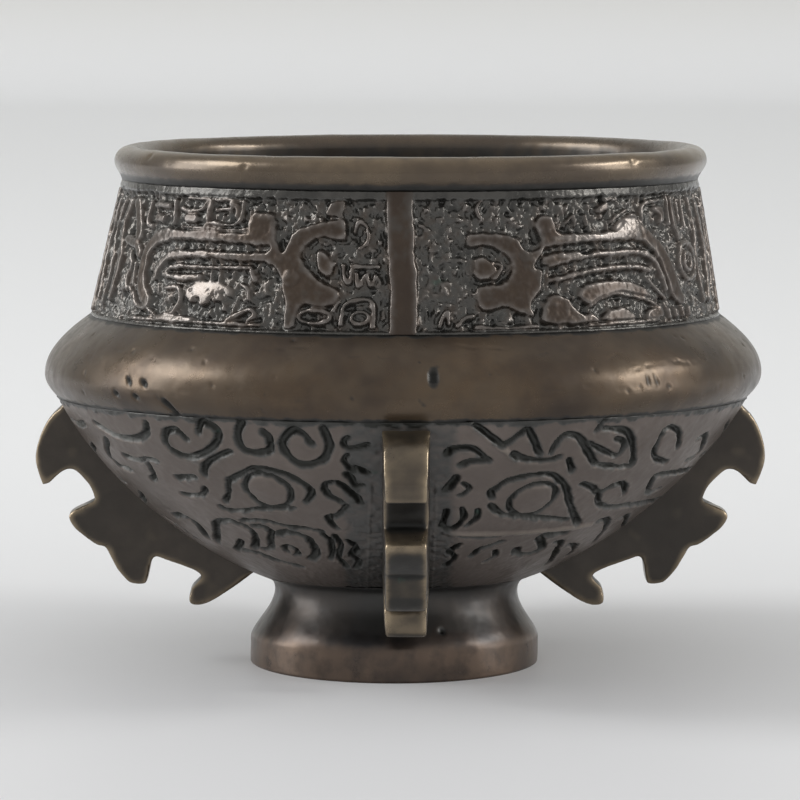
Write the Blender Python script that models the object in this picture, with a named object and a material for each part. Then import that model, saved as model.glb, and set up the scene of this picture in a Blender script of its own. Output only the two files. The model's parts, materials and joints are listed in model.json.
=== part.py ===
"""Bronze censer: one casting, a hollow bowl on a spreading foot, with a band of low relief round
the neck, a chiselled mask on the bowl and four hooked flanges.

The vessel is turned about +Z and the front flange points along -Y. Sizes are in millimetres.
The carving is laid out on two flat sheets, one for each band: a place on a sheet is the angle
in degrees from the front flange and the distance in millimetres down from the band's top edge.
"""

import math

import bmesh
import bpy
from mathutils import Vector
from mathutils.geometry import delaunay_2d_cdt

MM = 0.001

# Foot, a waisted ring with a plain upright lip.
FOOT_RADIUS = 22.1
FOOT_WALL = 2.8
FOOT_LIP_HEIGHT = 3.8
WAIST_INSET = 3.5
WAIST_RADIUS = FOOT_RADIUS - WAIST_INSET
WAIST_HEIGHT = 10.9

# Bowl, from where it leaves the foot to the shoulder belt, a smooth bulging band.
BELT_RADIUS = 55.0
BELT_PROUD = 2.1
BOWL_TOP_RADIUS = BELT_RADIUS - BELT_PROUD
BOWL_TOP_HEIGHT = 40.9
COVE_WIDTH = 1.8
COVE_HEIGHT = 2.2
BOWL_ROOT_RADIUS = WAIST_RADIUS + COVE_WIDTH
BOWL_ROOT_HEIGHT = WAIST_HEIGHT + COVE_HEIGHT
BELT_UNDERSIDE = 3.6
BELT_MIDDLE_HEIGHT = BOWL_TOP_HEIGHT + BELT_UNDERSIDE

# Neck, leaning inwards from the belt's sloping top, and the round lip above it.
RIM_HEIGHT = 79.2
LIP_ABOVE_MIDDLE = 2.2
LIP_BELOW_MIDDLE = 2.8
LIP_MIDDLE_HEIGHT = RIM_HEIGHT - LIP_ABOVE_MIDDLE
NECK_TOP_HEIGHT = LIP_MIDDLE_HEIGHT - LIP_BELOW_MIDDLE
BELT_SLOPE_HEIGHT = 8.9
BELT_SLOPE_WIDTH = 6.7
NECK_ROOT_RADIUS = BELT_RADIUS - BELT_SLOPE_WIDTH
NECK_ROOT_HEIGHT = BELT_MIDDLE_HEIGHT + BELT_SLOPE_HEIGHT
NECK_TAPER = 4.2
NECK_TOP_RADIUS = NECK_ROOT_RADIUS - NECK_TAPER
LIP_PROUD = 1.2
LIP_RADIUS = NECK_TOP_RADIUS + LIP_PROUD
LIP_CREST_INSET = 2.2
RIM_CREST_RADIUS = LIP_RADIUS - LIP_CREST_INSET

# Thickness of the vessel's wall, and of its floor over the hollow foot.
WALL = 3.3
FLOOR_RISE = 2.1
FLOOR_THICKNESS = 4.0
FLOOR_HEIGHT = BOWL_ROOT_HEIGHT + FLOOR_RISE
FLOOR_ROUNDING = 0.8
FOOT_HOLLOW_HEIGHT = FLOOR_HEIGHT - FLOOR_THICKNESS

# The foundry left the body a little off its foot: it leans back and to the right.
LEAN_BACK_DEGREES = 3.0
LEAN_RIGHT = 0.033
LEAN_RIGHT_PIVOT_HEIGHT = BELT_MIDDLE_HEIGHT

# Flanges, the same hooked blade at the front, back, left and right.
FLANGE_ROOT_THICKNESS = 6.8
FLANGE_TIP_THICKNESS = 5.4
FLANGE_PROUD = 10.9
FLANGE_ROOT_DEPTH = 1.8

# Carving.
NECK_SHEET = 21.0
NECK_SUNK = 0.8
RIBBON_SLOPE = 0.4
RIDGE_WIDTH = 1.7
BORDER_WIDTH = 0.6
NECK_RIB_WIDTH = 5.3
BOWL_SHEET = 46.0
CHISEL_WIDTH = 1.6
CHISEL_DEPTH = 0.8
PUPIL_RADIUS = 3.3
PUPIL_RISE = 0.7

# Fineness of the faceting.
TURN_STEPS = 40
QUARTER_STEPS = TURN_STEPS // 4
CARVING_STEP = 1.7
LONGEST_STEP = 6.0
BEND = math.radians(30.0)
SNAP = 0.5


def smooth_run(points, steps):
    """Points of a smooth curve through the given points, steps to each span."""
    ends = [points[0], *points, points[-1]]
    run = []
    for a, b, c, d in zip(ends, ends[1:], ends[2:], ends[3:]):
        for k in range(steps):
            t = k / steps
            run.append(tuple(
                0.5 * (2 * q + (r - p) * t + (2 * p - 5 * q + 4 * r - s) * t * t
                       + (3 * q - p - 3 * r + s) * t ** 3)
                for p, q, r, s in zip(a, b, c, d)))
    run.append(tuple(points[-1]))
    return run


def cubic(start, handle_a, handle_b, end, steps):
    """Points of a cubic curve, both ends included."""
    run = []
    for k in range(steps + 1):
        t = k / steps
        weights = ((1 - t) ** 3, 3 * (1 - t) ** 2 * t, 3 * (1 - t) * t * t, t ** 3)
        run.append(tuple(
            sum(w * p[axis] for w, p in zip(weights, (start, handle_a, handle_b, end)))
            for axis in (0, 1)))
    return run


def mixed(a, b, share):
    """The value the given share of the way from a to b."""
    return a + (b - a) * share


class Band:
    """A stretch of the vessel's outline that carries carving, read by distance from its top."""

    def __init__(self, outline, sheet_height):
        self.outline = outline[::-1]
        self.sheet_height = sheet_height
        self.reached = [0.0]
        for a, b in zip(self.outline, self.outline[1:]):
            self.reached.append(self.reached[-1] + math.dist(a, b))

    def section(self, down):
        """Radius, height and outward normal at a distance down the sheet."""
        wanted = self.reached[-1] * down / self.sheet_height
        last = len(self.outline) - 2
        k = next((i for i in range(last) if self.reached[i + 1] >= wanted), last)
        a, b = self.outline[k], self.outline[k + 1]
        length = self.reached[k + 1] - self.reached[k]
        share = (wanted - self.reached[k]) / length
        normal = ((a[1] - b[1]) / length, (b[0] - a[0]) / length)
        return mixed(a[0], b[0], share), mixed(a[1], b[1], share), normal

    def place(self, degrees, down, rise):
        """A point of the carved band, rise above its plain surface."""
        radius, height, normal = self.section(down)
        return turned(radius + normal[0] * rise, height + normal[1] * rise, degrees)

    def width_of_degree(self, down):
        """Millimetres round the vessel for one degree at a distance down the sheet."""
        return math.radians(self.section(down)[0])


def turned(radius, height, degrees):
    """A point of the vessel at an angle from the front flange, positive to the right."""
    angle = math.radians(degrees)
    return Vector((radius * math.sin(angle), -radius * math.cos(angle), height))


def foot_outline():
    """Outer profile of the foot, from the ground up to the root of the bowl."""
    lip_top = (FOOT_RADIUS, FOOT_LIP_HEIGHT)
    waist = (WAIST_RADIUS, WAIST_HEIGHT)
    rise = WAIST_HEIGHT - FOOT_LIP_HEIGHT
    flare = cubic(lip_top, (FOOT_RADIUS - 0.5, FOOT_LIP_HEIGHT + 0.3 * rise),
                  (WAIST_RADIUS, FOOT_LIP_HEIGHT + 0.6 * rise), waist, 3)
    root = (BOWL_ROOT_RADIUS, BOWL_ROOT_HEIGHT)
    cove = cubic(waist, (WAIST_RADIUS, mixed(WAIST_HEIGHT, BOWL_ROOT_HEIGHT, 0.6)),
                 (mixed(WAIST_RADIUS, BOWL_ROOT_RADIUS, 0.4),
                  mixed(WAIST_HEIGHT, BOWL_ROOT_HEIGHT, 0.85)), root, 2)
    return [(FOOT_RADIUS, 0.0)] + flare + cove[1:]


def bowl_outline(steps):
    """Outer profile of the bowl, from the foot up to the shoulder belt."""
    wide = BOWL_TOP_RADIUS - BOWL_ROOT_RADIUS
    high = BOWL_TOP_HEIGHT - BOWL_ROOT_HEIGHT
    return cubic((BOWL_ROOT_RADIUS, BOWL_ROOT_HEIGHT),
                 (BOWL_ROOT_RADIUS + 0.43 * wide, BOWL_ROOT_HEIGHT + 0.19 * high),
                 (BOWL_TOP_RADIUS - 0.17 * wide, BOWL_TOP_HEIGHT - 0.37 * high),
                 (BOWL_TOP_RADIUS, BOWL_TOP_HEIGHT), steps)


def belt_outline():
    """Outer profile of the shoulder belt: a round underside and a long sloping top."""
    proud = BELT_RADIUS - BOWL_TOP_RADIUS
    under = BELT_MIDDLE_HEIGHT - BOWL_TOP_HEIGHT
    over = NECK_ROOT_HEIGHT - BELT_MIDDLE_HEIGHT
    middle = (BELT_RADIUS, BELT_MIDDLE_HEIGHT)
    lower = cubic((BOWL_TOP_RADIUS, BOWL_TOP_HEIGHT),
                  (BOWL_TOP_RADIUS + 0.5 * proud, BOWL_TOP_HEIGHT + 0.3 * under),
                  (BELT_RADIUS, BELT_MIDDLE_HEIGHT - 0.4 * under), middle, 3)
    upper = cubic(middle, (BELT_RADIUS, BELT_MIDDLE_HEIGHT + 0.35 * over),
                  (mixed(NECK_ROOT_RADIUS, BELT_RADIUS, 0.64), NECK_ROOT_HEIGHT - 0.34 * over),
                  (NECK_ROOT_RADIUS, NECK_ROOT_HEIGHT), 5)
    return lower + upper[1:]


def neck_outline(steps):
    """Outer profile of the neck, from the belt up to the lip."""
    return [(mixed(NECK_ROOT_RADIUS, NECK_TOP_RADIUS, k / steps),
             mixed(NECK_ROOT_HEIGHT, NECK_TOP_HEIGHT, k / steps)) for k in range(steps + 1)]


def lip_outline():
    """Section of the lip, over its crest and down to the top of the inside wall."""
    mouth_radius = NECK_TOP_RADIUS - WALL
    below = LIP_MIDDLE_HEIGHT - NECK_TOP_HEIGHT
    above = RIM_HEIGHT - LIP_MIDDLE_HEIGHT
    middle = (LIP_RADIUS, LIP_MIDDLE_HEIGHT)
    crest = (RIM_CREST_RADIUS, RIM_HEIGHT)
    flare = cubic((NECK_TOP_RADIUS, NECK_TOP_HEIGHT),
                  (NECK_TOP_RADIUS + 0.1, NECK_TOP_HEIGHT + 0.3 * below),
                  (LIP_RADIUS, LIP_MIDDLE_HEIGHT - 0.4 * below), middle, 3)
    outer = cubic(middle, (LIP_RADIUS, LIP_MIDDLE_HEIGHT + 0.55 * above),
                  (mixed(RIM_CREST_RADIUS, LIP_RADIUS, 0.55), RIM_HEIGHT), crest, 3)
    inner = cubic(crest, (mixed(mouth_radius, RIM_CREST_RADIUS, 0.45), RIM_HEIGHT),
                  (mouth_radius, RIM_HEIGHT - 0.45 * above), (mouth_radius, LIP_MIDDLE_HEIGHT), 2)
    return flare + outer[1:] + inner[1:]


def inside_outline():
    """Inside of the vessel, a wall's thickness in from the outside, from the lip to the floor."""
    mouth_radius = NECK_TOP_RADIUS - WALL
    neck_radius = NECK_ROOT_RADIUS - WALL
    outer = bowl_outline(5)
    bowl = []
    for a, middle, b in zip(outer, outer[1:], outer[2:]):
        length = math.dist(a, b)
        bowl.append((middle[0] - WALL * (b[1] - a[1]) / length,
                     middle[1] + WALL * (b[0] - a[0]) / length))
    bowl = [point for point in bowl if point[1] > FLOOR_HEIGHT + FLOOR_ROUNDING][::-1]
    top = bowl[0]
    belly_rise = NECK_ROOT_HEIGHT - top[1]
    belly = cubic((neck_radius, NECK_ROOT_HEIGHT),
                  (mixed(neck_radius, BELT_RADIUS - WALL, 0.45), NECK_ROOT_HEIGHT - 0.3 * belly_rise),
                  (mixed(top[0], BELT_RADIUS - WALL, 0.6), top[1] + 0.35 * belly_rise), top, 3)
    edge = bowl[-1]
    dish = 0.6
    floor = (edge[0] * dish, mixed(FLOOR_HEIGHT, edge[1], dish ** 3))
    return ([(mouth_radius, LIP_MIDDLE_HEIGHT), (mouth_radius, NECK_TOP_HEIGHT)]
            + belly + bowl[1:] + [floor, (0.0, FLOOR_HEIGHT)])


def foot_hollow_outline():
    """The hollow under the foot, from its middle down to the ground."""
    inner = FOOT_RADIUS - FOOT_WALL
    throat = WAIST_RADIUS - FOOT_WALL
    roof = [(throat * share, FOOT_HOLLOW_HEIGHT - 1.4 * share ** 4) for share in (0.0, 0.5, 1.0)]
    edge = roof[-1][1]
    return roof + cubic(roof[-1], (throat, 0.6 * edge), (inner, 0.4 * edge), (inner, 0.0), 3)[1:]


def turn(mesh, outline):
    """Turn an outline about the vertical axis as a strip of faces."""
    rings = []
    for radius, height in outline:
        if radius < 0.001:
            rings.append([mesh.verts.new((0.0, 0.0, height))])
        else:
            rings.append([mesh.verts.new(turned(radius, height, 360.0 * k / TURN_STEPS))
                          for k in range(TURN_STEPS)])
    for low, high in zip(rings, rings[1:]):
        for k in range(TURN_STEPS):
            following = (k + 1) % TURN_STEPS
            corners = []
            for ring, place in ((low, k), (low, following), (high, following), (high, k)):
                vertex = ring[place % len(ring)]
                if vertex not in corners:
                    corners.append(vertex)
            mesh.faces.new(corners)


class Stroke:
    """One line of carving: a centre line on the sheet and the width it is cut or raised to."""

    def __init__(self, points, width, closed=False, raised=False, flat=False):
        self.points = points
        self.half = width / 2
        self.closed = closed
        self.raised = raised
        self.flat = flat

    def reaches(self):
        """Distances from the centre line where the surface folds."""
        if self.flat:
            return (self.half, self.half + RIBBON_SLOPE)
        return (0.0, self.half)

    def share(self, distance):
        """How far up or down the carving is at a distance from its centre line, 0 to 1."""
        if self.flat:
            return min(1.0, max(0.0, (self.half + RIBBON_SLOPE - distance) / RIBBON_SLOPE))
        return max(0.0, 1.0 - distance / self.half)


def spaced(points, degree_width):
    """Points of a line on the sheet, close where it bends and far apart where it runs straight."""
    fine = smooth_run(points, 6)
    kept = [fine[0]]
    since = 0.0
    bend = 0.0
    heading = None
    for a, b in zip(fine, fine[1:]):
        step = Vector(((b[0] - a[0]) * degree_width(a[1]), b[1] - a[1]))
        if step.length == 0.0:
            continue
        if heading is not None:
            bend += step.angle(heading)
        heading = step
        if since >= CARVING_STEP and (bend > BEND or since >= LONGEST_STEP):
            kept.append(a)
            since = 0.0
            bend = 0.0
        since += step.length
    if since < 0.6 * CARVING_STEP and len(kept) > 1:
        kept.pop()
    kept.append(fine[-1])
    return kept


def ring(degrees, down, wide, high, degree_width, sides):
    """A closed round or oval line on the sheet, its half width and half height given."""
    return [(degrees + wide / degree_width(down) * math.cos(2 * math.pi * k / sides),
             down + high * math.sin(2 * math.pi * k / sides)) for k in range(sides)]


def beside(points, closed, reach, degree_width):
    """The loops of points at a distance on both sides of a line, with rounded ends."""
    count = len(points)
    left = []
    right = []
    for k, point in enumerate(points):
        before = points[(k - 1) % count] if closed or k > 0 else point
        after = points[(k + 1) % count] if closed or k < count - 1 else point
        scale = degree_width(point[1])
        along = Vector(((after[0] - before[0]) * scale, after[1] - before[1])).normalized()
        left.append((point[0] - along.y * reach / scale, point[1] + along.x * reach))
        right.append((point[0] + along.y * reach / scale, point[1] - along.x * reach))
    if closed:
        return [left, right]
    ends = []
    for inner, outer in ((points[-2], points[-1]), (points[1], points[0])):
        scale = degree_width(outer[1])
        along = Vector(((outer[0] - inner[0]) * scale, outer[1] - inner[1])).normalized() * reach
        ends.append((outer[0] + along.x / scale, outer[1] + along.y))
    return [left + [ends[0]] + right[::-1] + [ends[1]]]


def gap_to_line(place, line, closed, scale):
    """Distance in millimetres from a place on the sheet to a line of carving."""
    best = math.inf
    pairs = list(zip(line, line[1:]))
    if closed:
        pairs.append((line[-1], line[0]))
    for a, b in pairs:
        ax, ay = (a[0] - place[0]) * scale, a[1] - place[1]
        bx, by = (b[0] - a[0]) * scale, b[1] - a[1]
        length = bx * bx + by * by
        share = 0.0 if length == 0.0 else min(1.0, max(0.0, -(ax * bx + ay * by) / length))
        best = min(best, math.hypot(ax + bx * share, ay + by * share))
    return best


class Quarter:
    """One carved quarter of a band, between two flanges, faceted to fit its carving."""

    def __init__(self, band, start, rows, ground, depth, strokes, bosses):
        self.band = band
        self.start = start
        self.rows = rows
        self.ground = ground
        self.depth = depth
        self.lines = [(stroke, stroke.points if stroke.closed
                       else spaced(stroke.points, band.width_of_degree))
                      for stroke in strokes]
        self.bosses = bosses
        self.points = []
        self.edges = []

    def rise(self, degrees, down):
        """Height of the carving above the band's plain surface at a place."""
        scale = self.band.width_of_degree(down)
        edge = min(down, self.band.sheet_height - down)
        frame = min(1.0, max(0.0, (BORDER_WIDTH + RIBBON_SLOPE - edge) / RIBBON_SLOPE))
        up = frame
        cut = 0.0
        for stroke, line in self.lines:
            share = stroke.share(gap_to_line((degrees, down), line, stroke.closed, scale))
            if stroke.raised:
                up = max(up, share)
            else:
                cut = max(cut, share)
        level = self.ground * (1.0 - up) - self.depth * cut
        for at, below, wide, high, lift in self.bosses:
            gap = math.hypot((degrees - at) * scale / wide, (down - below) / high)
            if gap < 1.0:
                level = max(level, level + lift * (1.0 - gap * gap) ** 0.5)
        return level

    def point(self, place, snap=SNAP):
        """Number of the sheet point at a place, shared with one already close to it."""
        scale = self.band.width_of_degree(place[1])
        for k, other in enumerate(self.points):
            if math.hypot((place[0] - other[0]) * scale, place[1] - other[1]) < snap:
                return k
        self.points.append(place)
        return len(self.points) - 1

    def inside(self, place):
        """Whether a place is well within the quarter."""
        margin = 0.6 / self.band.width_of_degree(min(max(place[1], 0.0), self.band.sheet_height))
        return (self.start + margin < place[0] < self.start + 90.0 - margin
                and 0.35 < place[1] < self.band.sheet_height - 0.35)

    def draw(self, loop, closed):
        """Lay a line of folds on the sheet."""
        run = [self.point(place) if self.inside(place) else None for place in loop]
        pairs = list(zip(run, run[1:]))
        if closed:
            pairs.append((run[-1], run[0]))
        for a, b in pairs:
            if a is not None and b is not None and a != b:
                self.edges.append((a, b))

    def faces(self):
        """Corners and triangles of the carved quarter."""
        tall = self.band.sheet_height
        columns = [self.start + 90.0 * k / QUARTER_STEPS for k in range(QUARTER_STEPS + 1)]
        levels = [tall * k / self.rows for k in range(self.rows + 1)]
        border = ([(x, 0.0) for x in columns[:-1]] + [(columns[-1], y) for y in levels[:-1]]
                  + [(x, tall) for x in columns[:0:-1]] + [(columns[0], y) for y in levels[:0:-1]])
        outline = list(range(len(border)))
        self.points = list(border)
        if self.ground:
            for edge in (BORDER_WIDTH, BORDER_WIDTH + RIBBON_SLOPE):
                for level in (edge, tall - edge):
                    self.draw([(x, level) for x in columns[1:-1]], False)
        for at, below, wide, high, _ in self.bosses:
            for size in (1.0, 0.6):
                self.draw(ring(at, below, wide * size, high * size,
                               self.band.width_of_degree, 10), True)
            self.point((at, below))
        for stroke, line in self.lines:
            for reach in stroke.reaches():
                if reach == 0.0:
                    self.draw(line, stroke.closed)
                    continue
                for loop in beside(line, stroke.closed, reach, self.band.width_of_degree):
                    self.draw(loop, True)
        for level in levels[1:-1]:
            for x in columns[1:-1]:
                self.point((x, level), 2.0)
        flat = [Vector((x * 0.75, y)) for x, y in self.points]
        places, _, triangles, _, _, _ = delaunay_2d_cdt(flat, self.edges, [outline], 1, 0.02)
        corners = [self.band.place(place.x / 0.75, place.y,
                                   self.level_at(place.x / 0.75, place.y)) for place in places]
        return corners, triangles

    def level_at(self, degrees, down):
        """Height of the carving, which is level with the plain bands at the quarter's rim."""
        tall = self.band.sheet_height
        at_rim = (down < 0.01 or down > tall - 0.01 or degrees < self.start + 0.01
                  or degrees > self.start + 89.99)
        return 0.0 if at_rim else self.rise(degrees, down)

    def add_to(self, mesh, mirrored):
        """Add the quarter, and its mirror image across the vessel, to the mesh."""
        corners, triangles = self.faces()
        front = [mesh.verts.new(corner) for corner in corners]
        for triangle in triangles:
            mesh.faces.new([front[k] for k in triangle])
        if mirrored:
            back = [mesh.verts.new((corner.x, -corner.y, corner.z)) for corner in corners]
            for triangle in triangles:
                mesh.faces.new([back[k] for k in reversed(triangle)])


def groove(*points):
    """A chiselled line through the points."""
    return Stroke(list(points), CHISEL_WIDTH)


def ribbon(width, *points):
    """A flat raised line through the points."""
    return Stroke(list(points), width, raised=True, flat=True)


def ridge(*points):
    """A narrow raised line through the points, its sides meeting along the top."""
    return Stroke(list(points), RIDGE_WIDTH, raised=True)


def ring_groove(band, degrees, down, radius):
    """A chiselled circle."""
    return Stroke(ring(degrees, down, radius, radius, band.width_of_degree, 12),
                  CHISEL_WIDTH, closed=True)


def ring_ridge(band, degrees, down, wide, high):
    """A narrow raised round or oval loop."""
    return Stroke(ring(degrees, down, wide, high, band.width_of_degree, 8), RIDGE_WIDTH,
                  closed=True, raised=True)


def left_mask(band):
    """Mask on the bowl left of the front flange: horn, eye, jaw and hooked strokes below."""
    eye = (-26.0, 14.0)
    horn = [groove((-13.0, 1.0), (-12.3, 5.0), (-14.0, 7.5), (-18.5, 7.8), (-20.2, 4.0),
                   (-17.0, 1.8), (-15.2, 4.3)),
            groove((-26.3, 0.8), (-28.1, 3.2), (-26.0, 6.0), (-23.0, 5.4), (-23.3, 2.2)),
            groove((-39.2, 4.2), (-41.5, 2.5), (-43.9, 4.8), (-41.0, 7.5), (-35.0, 5.8),
                   (-31.8, 2.4), (-35.0, 1.2), (-36.2, 3.0)),
            groove((-30.5, 6.0), (-36.0, 8.3), (-39.0, 11.5))]
    brow = [ring_groove(band, *eye, PUPIL_RADIUS + 0.6 * CHISEL_WIDTH),
            groove((-39.0, 18.0), (-35.0, 14.4), (-33.6, 11.6), (-27.5, 8.6), (-21.5, 9.0),
                   (-17.6, 12.4), (-18.4, 16.3)),
            groove((-40.0, 18.6), (-35.0, 19.6), (-28.0, 19.4), (-21.5, 18.6)),
            groove((-47.0, 12.5), (-42.0, 12.0)),
            groove((-49.0, 16.2), (-43.5, 16.0), (-40.8, 14.0))]
    cheek = [groove((-64.0, 3.0), (-58.0, 5.0), (-52.0, 5.0), (-47.5, 2.6)),
             groove((-63.0, 6.0), (-67.0, 8.8), (-65.5, 11.5), (-61.0, 11.8)),
             groove((-60.0, 8.6), (-55.5, 9.2), (-53.0, 10.4), (-56.0, 13.5)),
             groove((-62.0, 22.5), (-57.0, 22.0), (-54.5, 24.3), (-57.0, 27.5)),
             groove((-74.0, 8.0), (-80.0, 10.0), (-80.0, 14.5), (-74.0, 15.5)),
             groove((-80.0, 20.5), (-73.0, 19.5), (-68.0, 17.5))]
    jaw = [groove((-55.0, 29.0), (-50.0, 26.0), (-44.0, 22.6), (-38.5, 23.0), (-37.6, 26.0),
                  (-41.0, 29.5)),
           groove((-37.0, 21.6), (-33.0, 21.2), (-28.0, 21.8)),
           groove((-34.0, 23.8), (-31.6, 24.6), (-33.0, 27.5), (-37.0, 31.0)),
           groove((-29.0, 24.8), (-25.0, 24.0), (-22.4, 26.4), (-25.0, 29.5)),
           groove((-45.0, 31.0), (-41.0, 32.6), (-37.0, 34.0)),
           groove((-70.0, 24.0), (-66.0, 27.0), (-66.0, 31.0))]
    return horn + brow + cheek + jaw, [(*eye, PUPIL_RADIUS, PUPIL_RADIUS, PUPIL_RISE)]


def right_mask(band):
    """Mask on the bowl right of the front flange, its strokes longer and more slanting."""
    eye = (27.0, 15.8)
    horn = [groove((11.5, 1.0), (16.0, 4.4), (20.4, 7.2)),
            groove((26.5, 6.5), (27.2, 3.4), (30.5, 3.2), (34.0, 6.3), (38.0, 9.4)),
            groove((35.0, 1.6), (39.5, 2.4), (43.5, 5.6), (46.5, 9.6), (40.5, 9.6)),
            groove((37.0, 4.6), (41.0, 5.4), (41.0, 7.2)),
            groove((49.5, 3.2), (52.5, 3.0), (57.5, 6.8)),
            groove((49.8, 5.4), (52.6, 8.6), (57.8, 10.0)),
            groove((63.5, 6.0), (67.5, 6.6), (70.5, 9.0), (66.5, 10.6))]
    brow = [ring_groove(band, *eye, PUPIL_RADIUS + 0.6 * CHISEL_WIDTH),
            groove((18.0, 15.6), (18.6, 12.6), (22.5, 10.2), (28.5, 9.9), (33.6, 12.6),
                   (38.0, 17.4), (45.0, 22.6)),
            groove((18.6, 17.8), (22.4, 20.4), (29.0, 21.4), (38.0, 22.0)),
            groove((37.0, 12.6), (41.0, 13.8), (45.0, 13.6), (49.5, 13.8), (52.0, 16.4)),
            groove((43.5, 16.6), (47.0, 18.6), (54.0, 19.6), (64.0, 19.6), (80.0, 20.2)),
            groove((57.5, 13.2), (60.0, 16.0), (66.0, 16.2)),
            groove((62.0, 12.6), (71.0, 13.0), (80.0, 13.4))]
    jaw = [groove((10.5, 24.2), (18.0, 24.6), (26.0, 24.8)),
           groove((20.4, 31.0), (22.0, 28.2), (27.5, 27.2)),
           groove((33.0, 27.0), (34.5, 30.2), (40.5, 32.0)),
           groove((39.5, 26.6), (42.2, 28.2), (43.0, 31.6)),
           groove((46.5, 28.8), (50.0, 31.8), (57.0, 36.0)),
           groove((51.0, 28.6), (57.0, 30.5), (63.0, 34.4)),
           groove((52.0, 23.2), (57.0, 23.4), (66.0, 29.6)),
           groove((60.0, 24.0), (64.5, 22.8), (71.0, 25.2), (80.0, 27.5))]
    return horn + brow + jaw, [(*eye, PUPIL_RADIUS, PUPIL_RADIUS, PUPIL_RISE)]


def neck_rib(degrees):
    """The plain upright rib over a flange."""
    return ribbon(NECK_RIB_WIDTH, (degrees, -2.0), (degrees, NECK_SHEET / 2),
                  (degrees, NECK_SHEET + 2.0))


def left_neck(band):
    """Relief left of the front rib: a beast's crest, eye, ear and paws."""
    strokes = [neck_rib(-1.5), neck_rib(-90.0),
               ribbon(1.8, (-58.4, 17.6), (-58.6, 12.0), (-56.5, 8.0), (-51.5, 7.0),
                      (-40.0, 7.2), (-30.0, 7.4)),
               ribbon(1.4, (-55.6, 14.6), (-54.4, 11.2), (-50.0, 10.2), (-40.0, 10.3),
                      (-29.0, 10.3)),
               ridge((-51.5, 13.6), (-46.0, 12.5), (-30.0, 12.5)),
               ribbon(3.0, (-23.0, 8.8), (-23.2, 14.0), (-23.0, 19.0)),
               ribbon(2.2, (-24.0, 7.6), (-19.5, 6.3), (-13.2, 5.6)),
               ridge((-57.0, 19.4), (-44.0, 19.4), (-27.0, 19.4)),
               ridge((-47.0, 17.2), (-44.5, 14.8), (-40.5, 14.0)),
               ring_ridge(band, -16.6, 16.8, 2.0, 2.0),
               ring_ridge(band, -9.0, 17.8, 2.0, 1.5)]
    strokes += squared_scrolls((-56.0, -47.0, -38.5))
    strokes += [ribbon(1.8, (-64.0, 9.0), (-68.5, 11.0), (-69.0, 16.0), (-64.5, 17.6)),
                ribbon(1.4, (-75.0, 6.0), (-76.5, 12.0), (-75.5, 18.0))]
    return strokes, [(-38.0, 16.6, 4.6, 1.9, 0.8), (-21.6, 12.8, 1.7, 1.7, 0.5)]


def right_neck(band):
    """Relief right of the front rib: a beast's ear, layered crest, eye and curled tail."""
    strokes = [neck_rib(-1.5), neck_rib(90.0),
               ribbon(3.0, (22.0, 6.4), (22.2, 11.0), (22.0, 16.0)),
               ribbon(1.4, (12.0, 8.6), (16.5, 8.9), (18.6, 11.2), (16.5, 13.6), (12.0, 13.7)),
               ribbon(1.7, (26.0, 7.1), (36.0, 7.2), (44.0, 6.6), (50.0, 4.6)),
               ribbon(1.3, (26.0, 10.8), (33.0, 9.9), (44.0, 9.9), (50.4, 11.0), (54.0, 14.2)),
               ridge((27.0, 13.2), (36.0, 12.2), (46.0, 12.4), (51.8, 14.4), (53.6, 17.2)),
               ribbon(1.8, (52.8, 8.4), (56.6, 10.4), (58.8, 14.0), (60.2, 18.0)),
               ridge((35.0, 18.2), (40.0, 17.6), (45.0, 18.4), (49.5, 18.0)),
               ridge((10.0, 19.6), (22.0, 19.5), (32.0, 19.5)),
               ring_ridge(band, 29.0, 16.8, 1.5, 1.5),
               ring_ridge(band, 66.0, 12.6, 2.6, 2.2),
               ring_ridge(band, 15.6, 16.4, 1.6, 1.0),
               ribbon(1.6, (72.5, 6.0), (76.5, 9.0), (76.5, 15.0), (71.5, 18.0))]
    strokes += squared_scrolls((33.5, 41.0, 56.5, 66.0))
    return strokes, [(26.6, 4.4, 1.8, 1.5, 0.8), (40.5, 15.4, 4.2, 1.3, 0.7)]


def squared_scrolls(places):
    """Thunder pattern under the lip: one squared scroll centred at each angle."""
    return [ridge((at - 3.2, 5.4), (at - 3.3, 2.4), (at + 2.9, 2.2), (at + 2.9, 4.6),
                   (at - 0.6, 4.6)) for at in places]


def flange_outline():
    """Blade of a flange as (distance down the bowl's sheet, height proud of the bowl)."""
    runs = (
        # Back of the upper hook, then its throat.
        ((1.9, -0.5), (2.8, 3.4), (6.1, 7.6), (9.9, 9.3)),
        ((10.4, 8.7), (10.2, 5.6), (11.2, 4.1), (14.5, 3.9), (17.0, 4.8)),
        # Spur, with a blunt back that runs down to the second hook.
        ((15.7, 8.8), (15.9, 9.7), (18.0, 10.1), (21.4, 9.7), (22.8, 8.9)),
        ((26.2, 10.4), (29.6, 10.8), (30.9, 9.6)),
        ((30.4, 8.1), (29.4, 5.6), (30.9, 4.9), (35.3, 3.9), (37.5, 3.9)),
        # Claw that curls out over the foot.
        ((36.7, 6.8), (37.5, 8.6), (38.8, 8.3), (40.4, 6.6), (44.7, -0.5)),
    )
    highest = max(proud for run in runs for _, proud in run)
    return [(down, proud * (FLANGE_PROUD / highest if proud > 0.0 else 1.0))
            for run in runs for down, proud in smooth_run(run, 2)]


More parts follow.
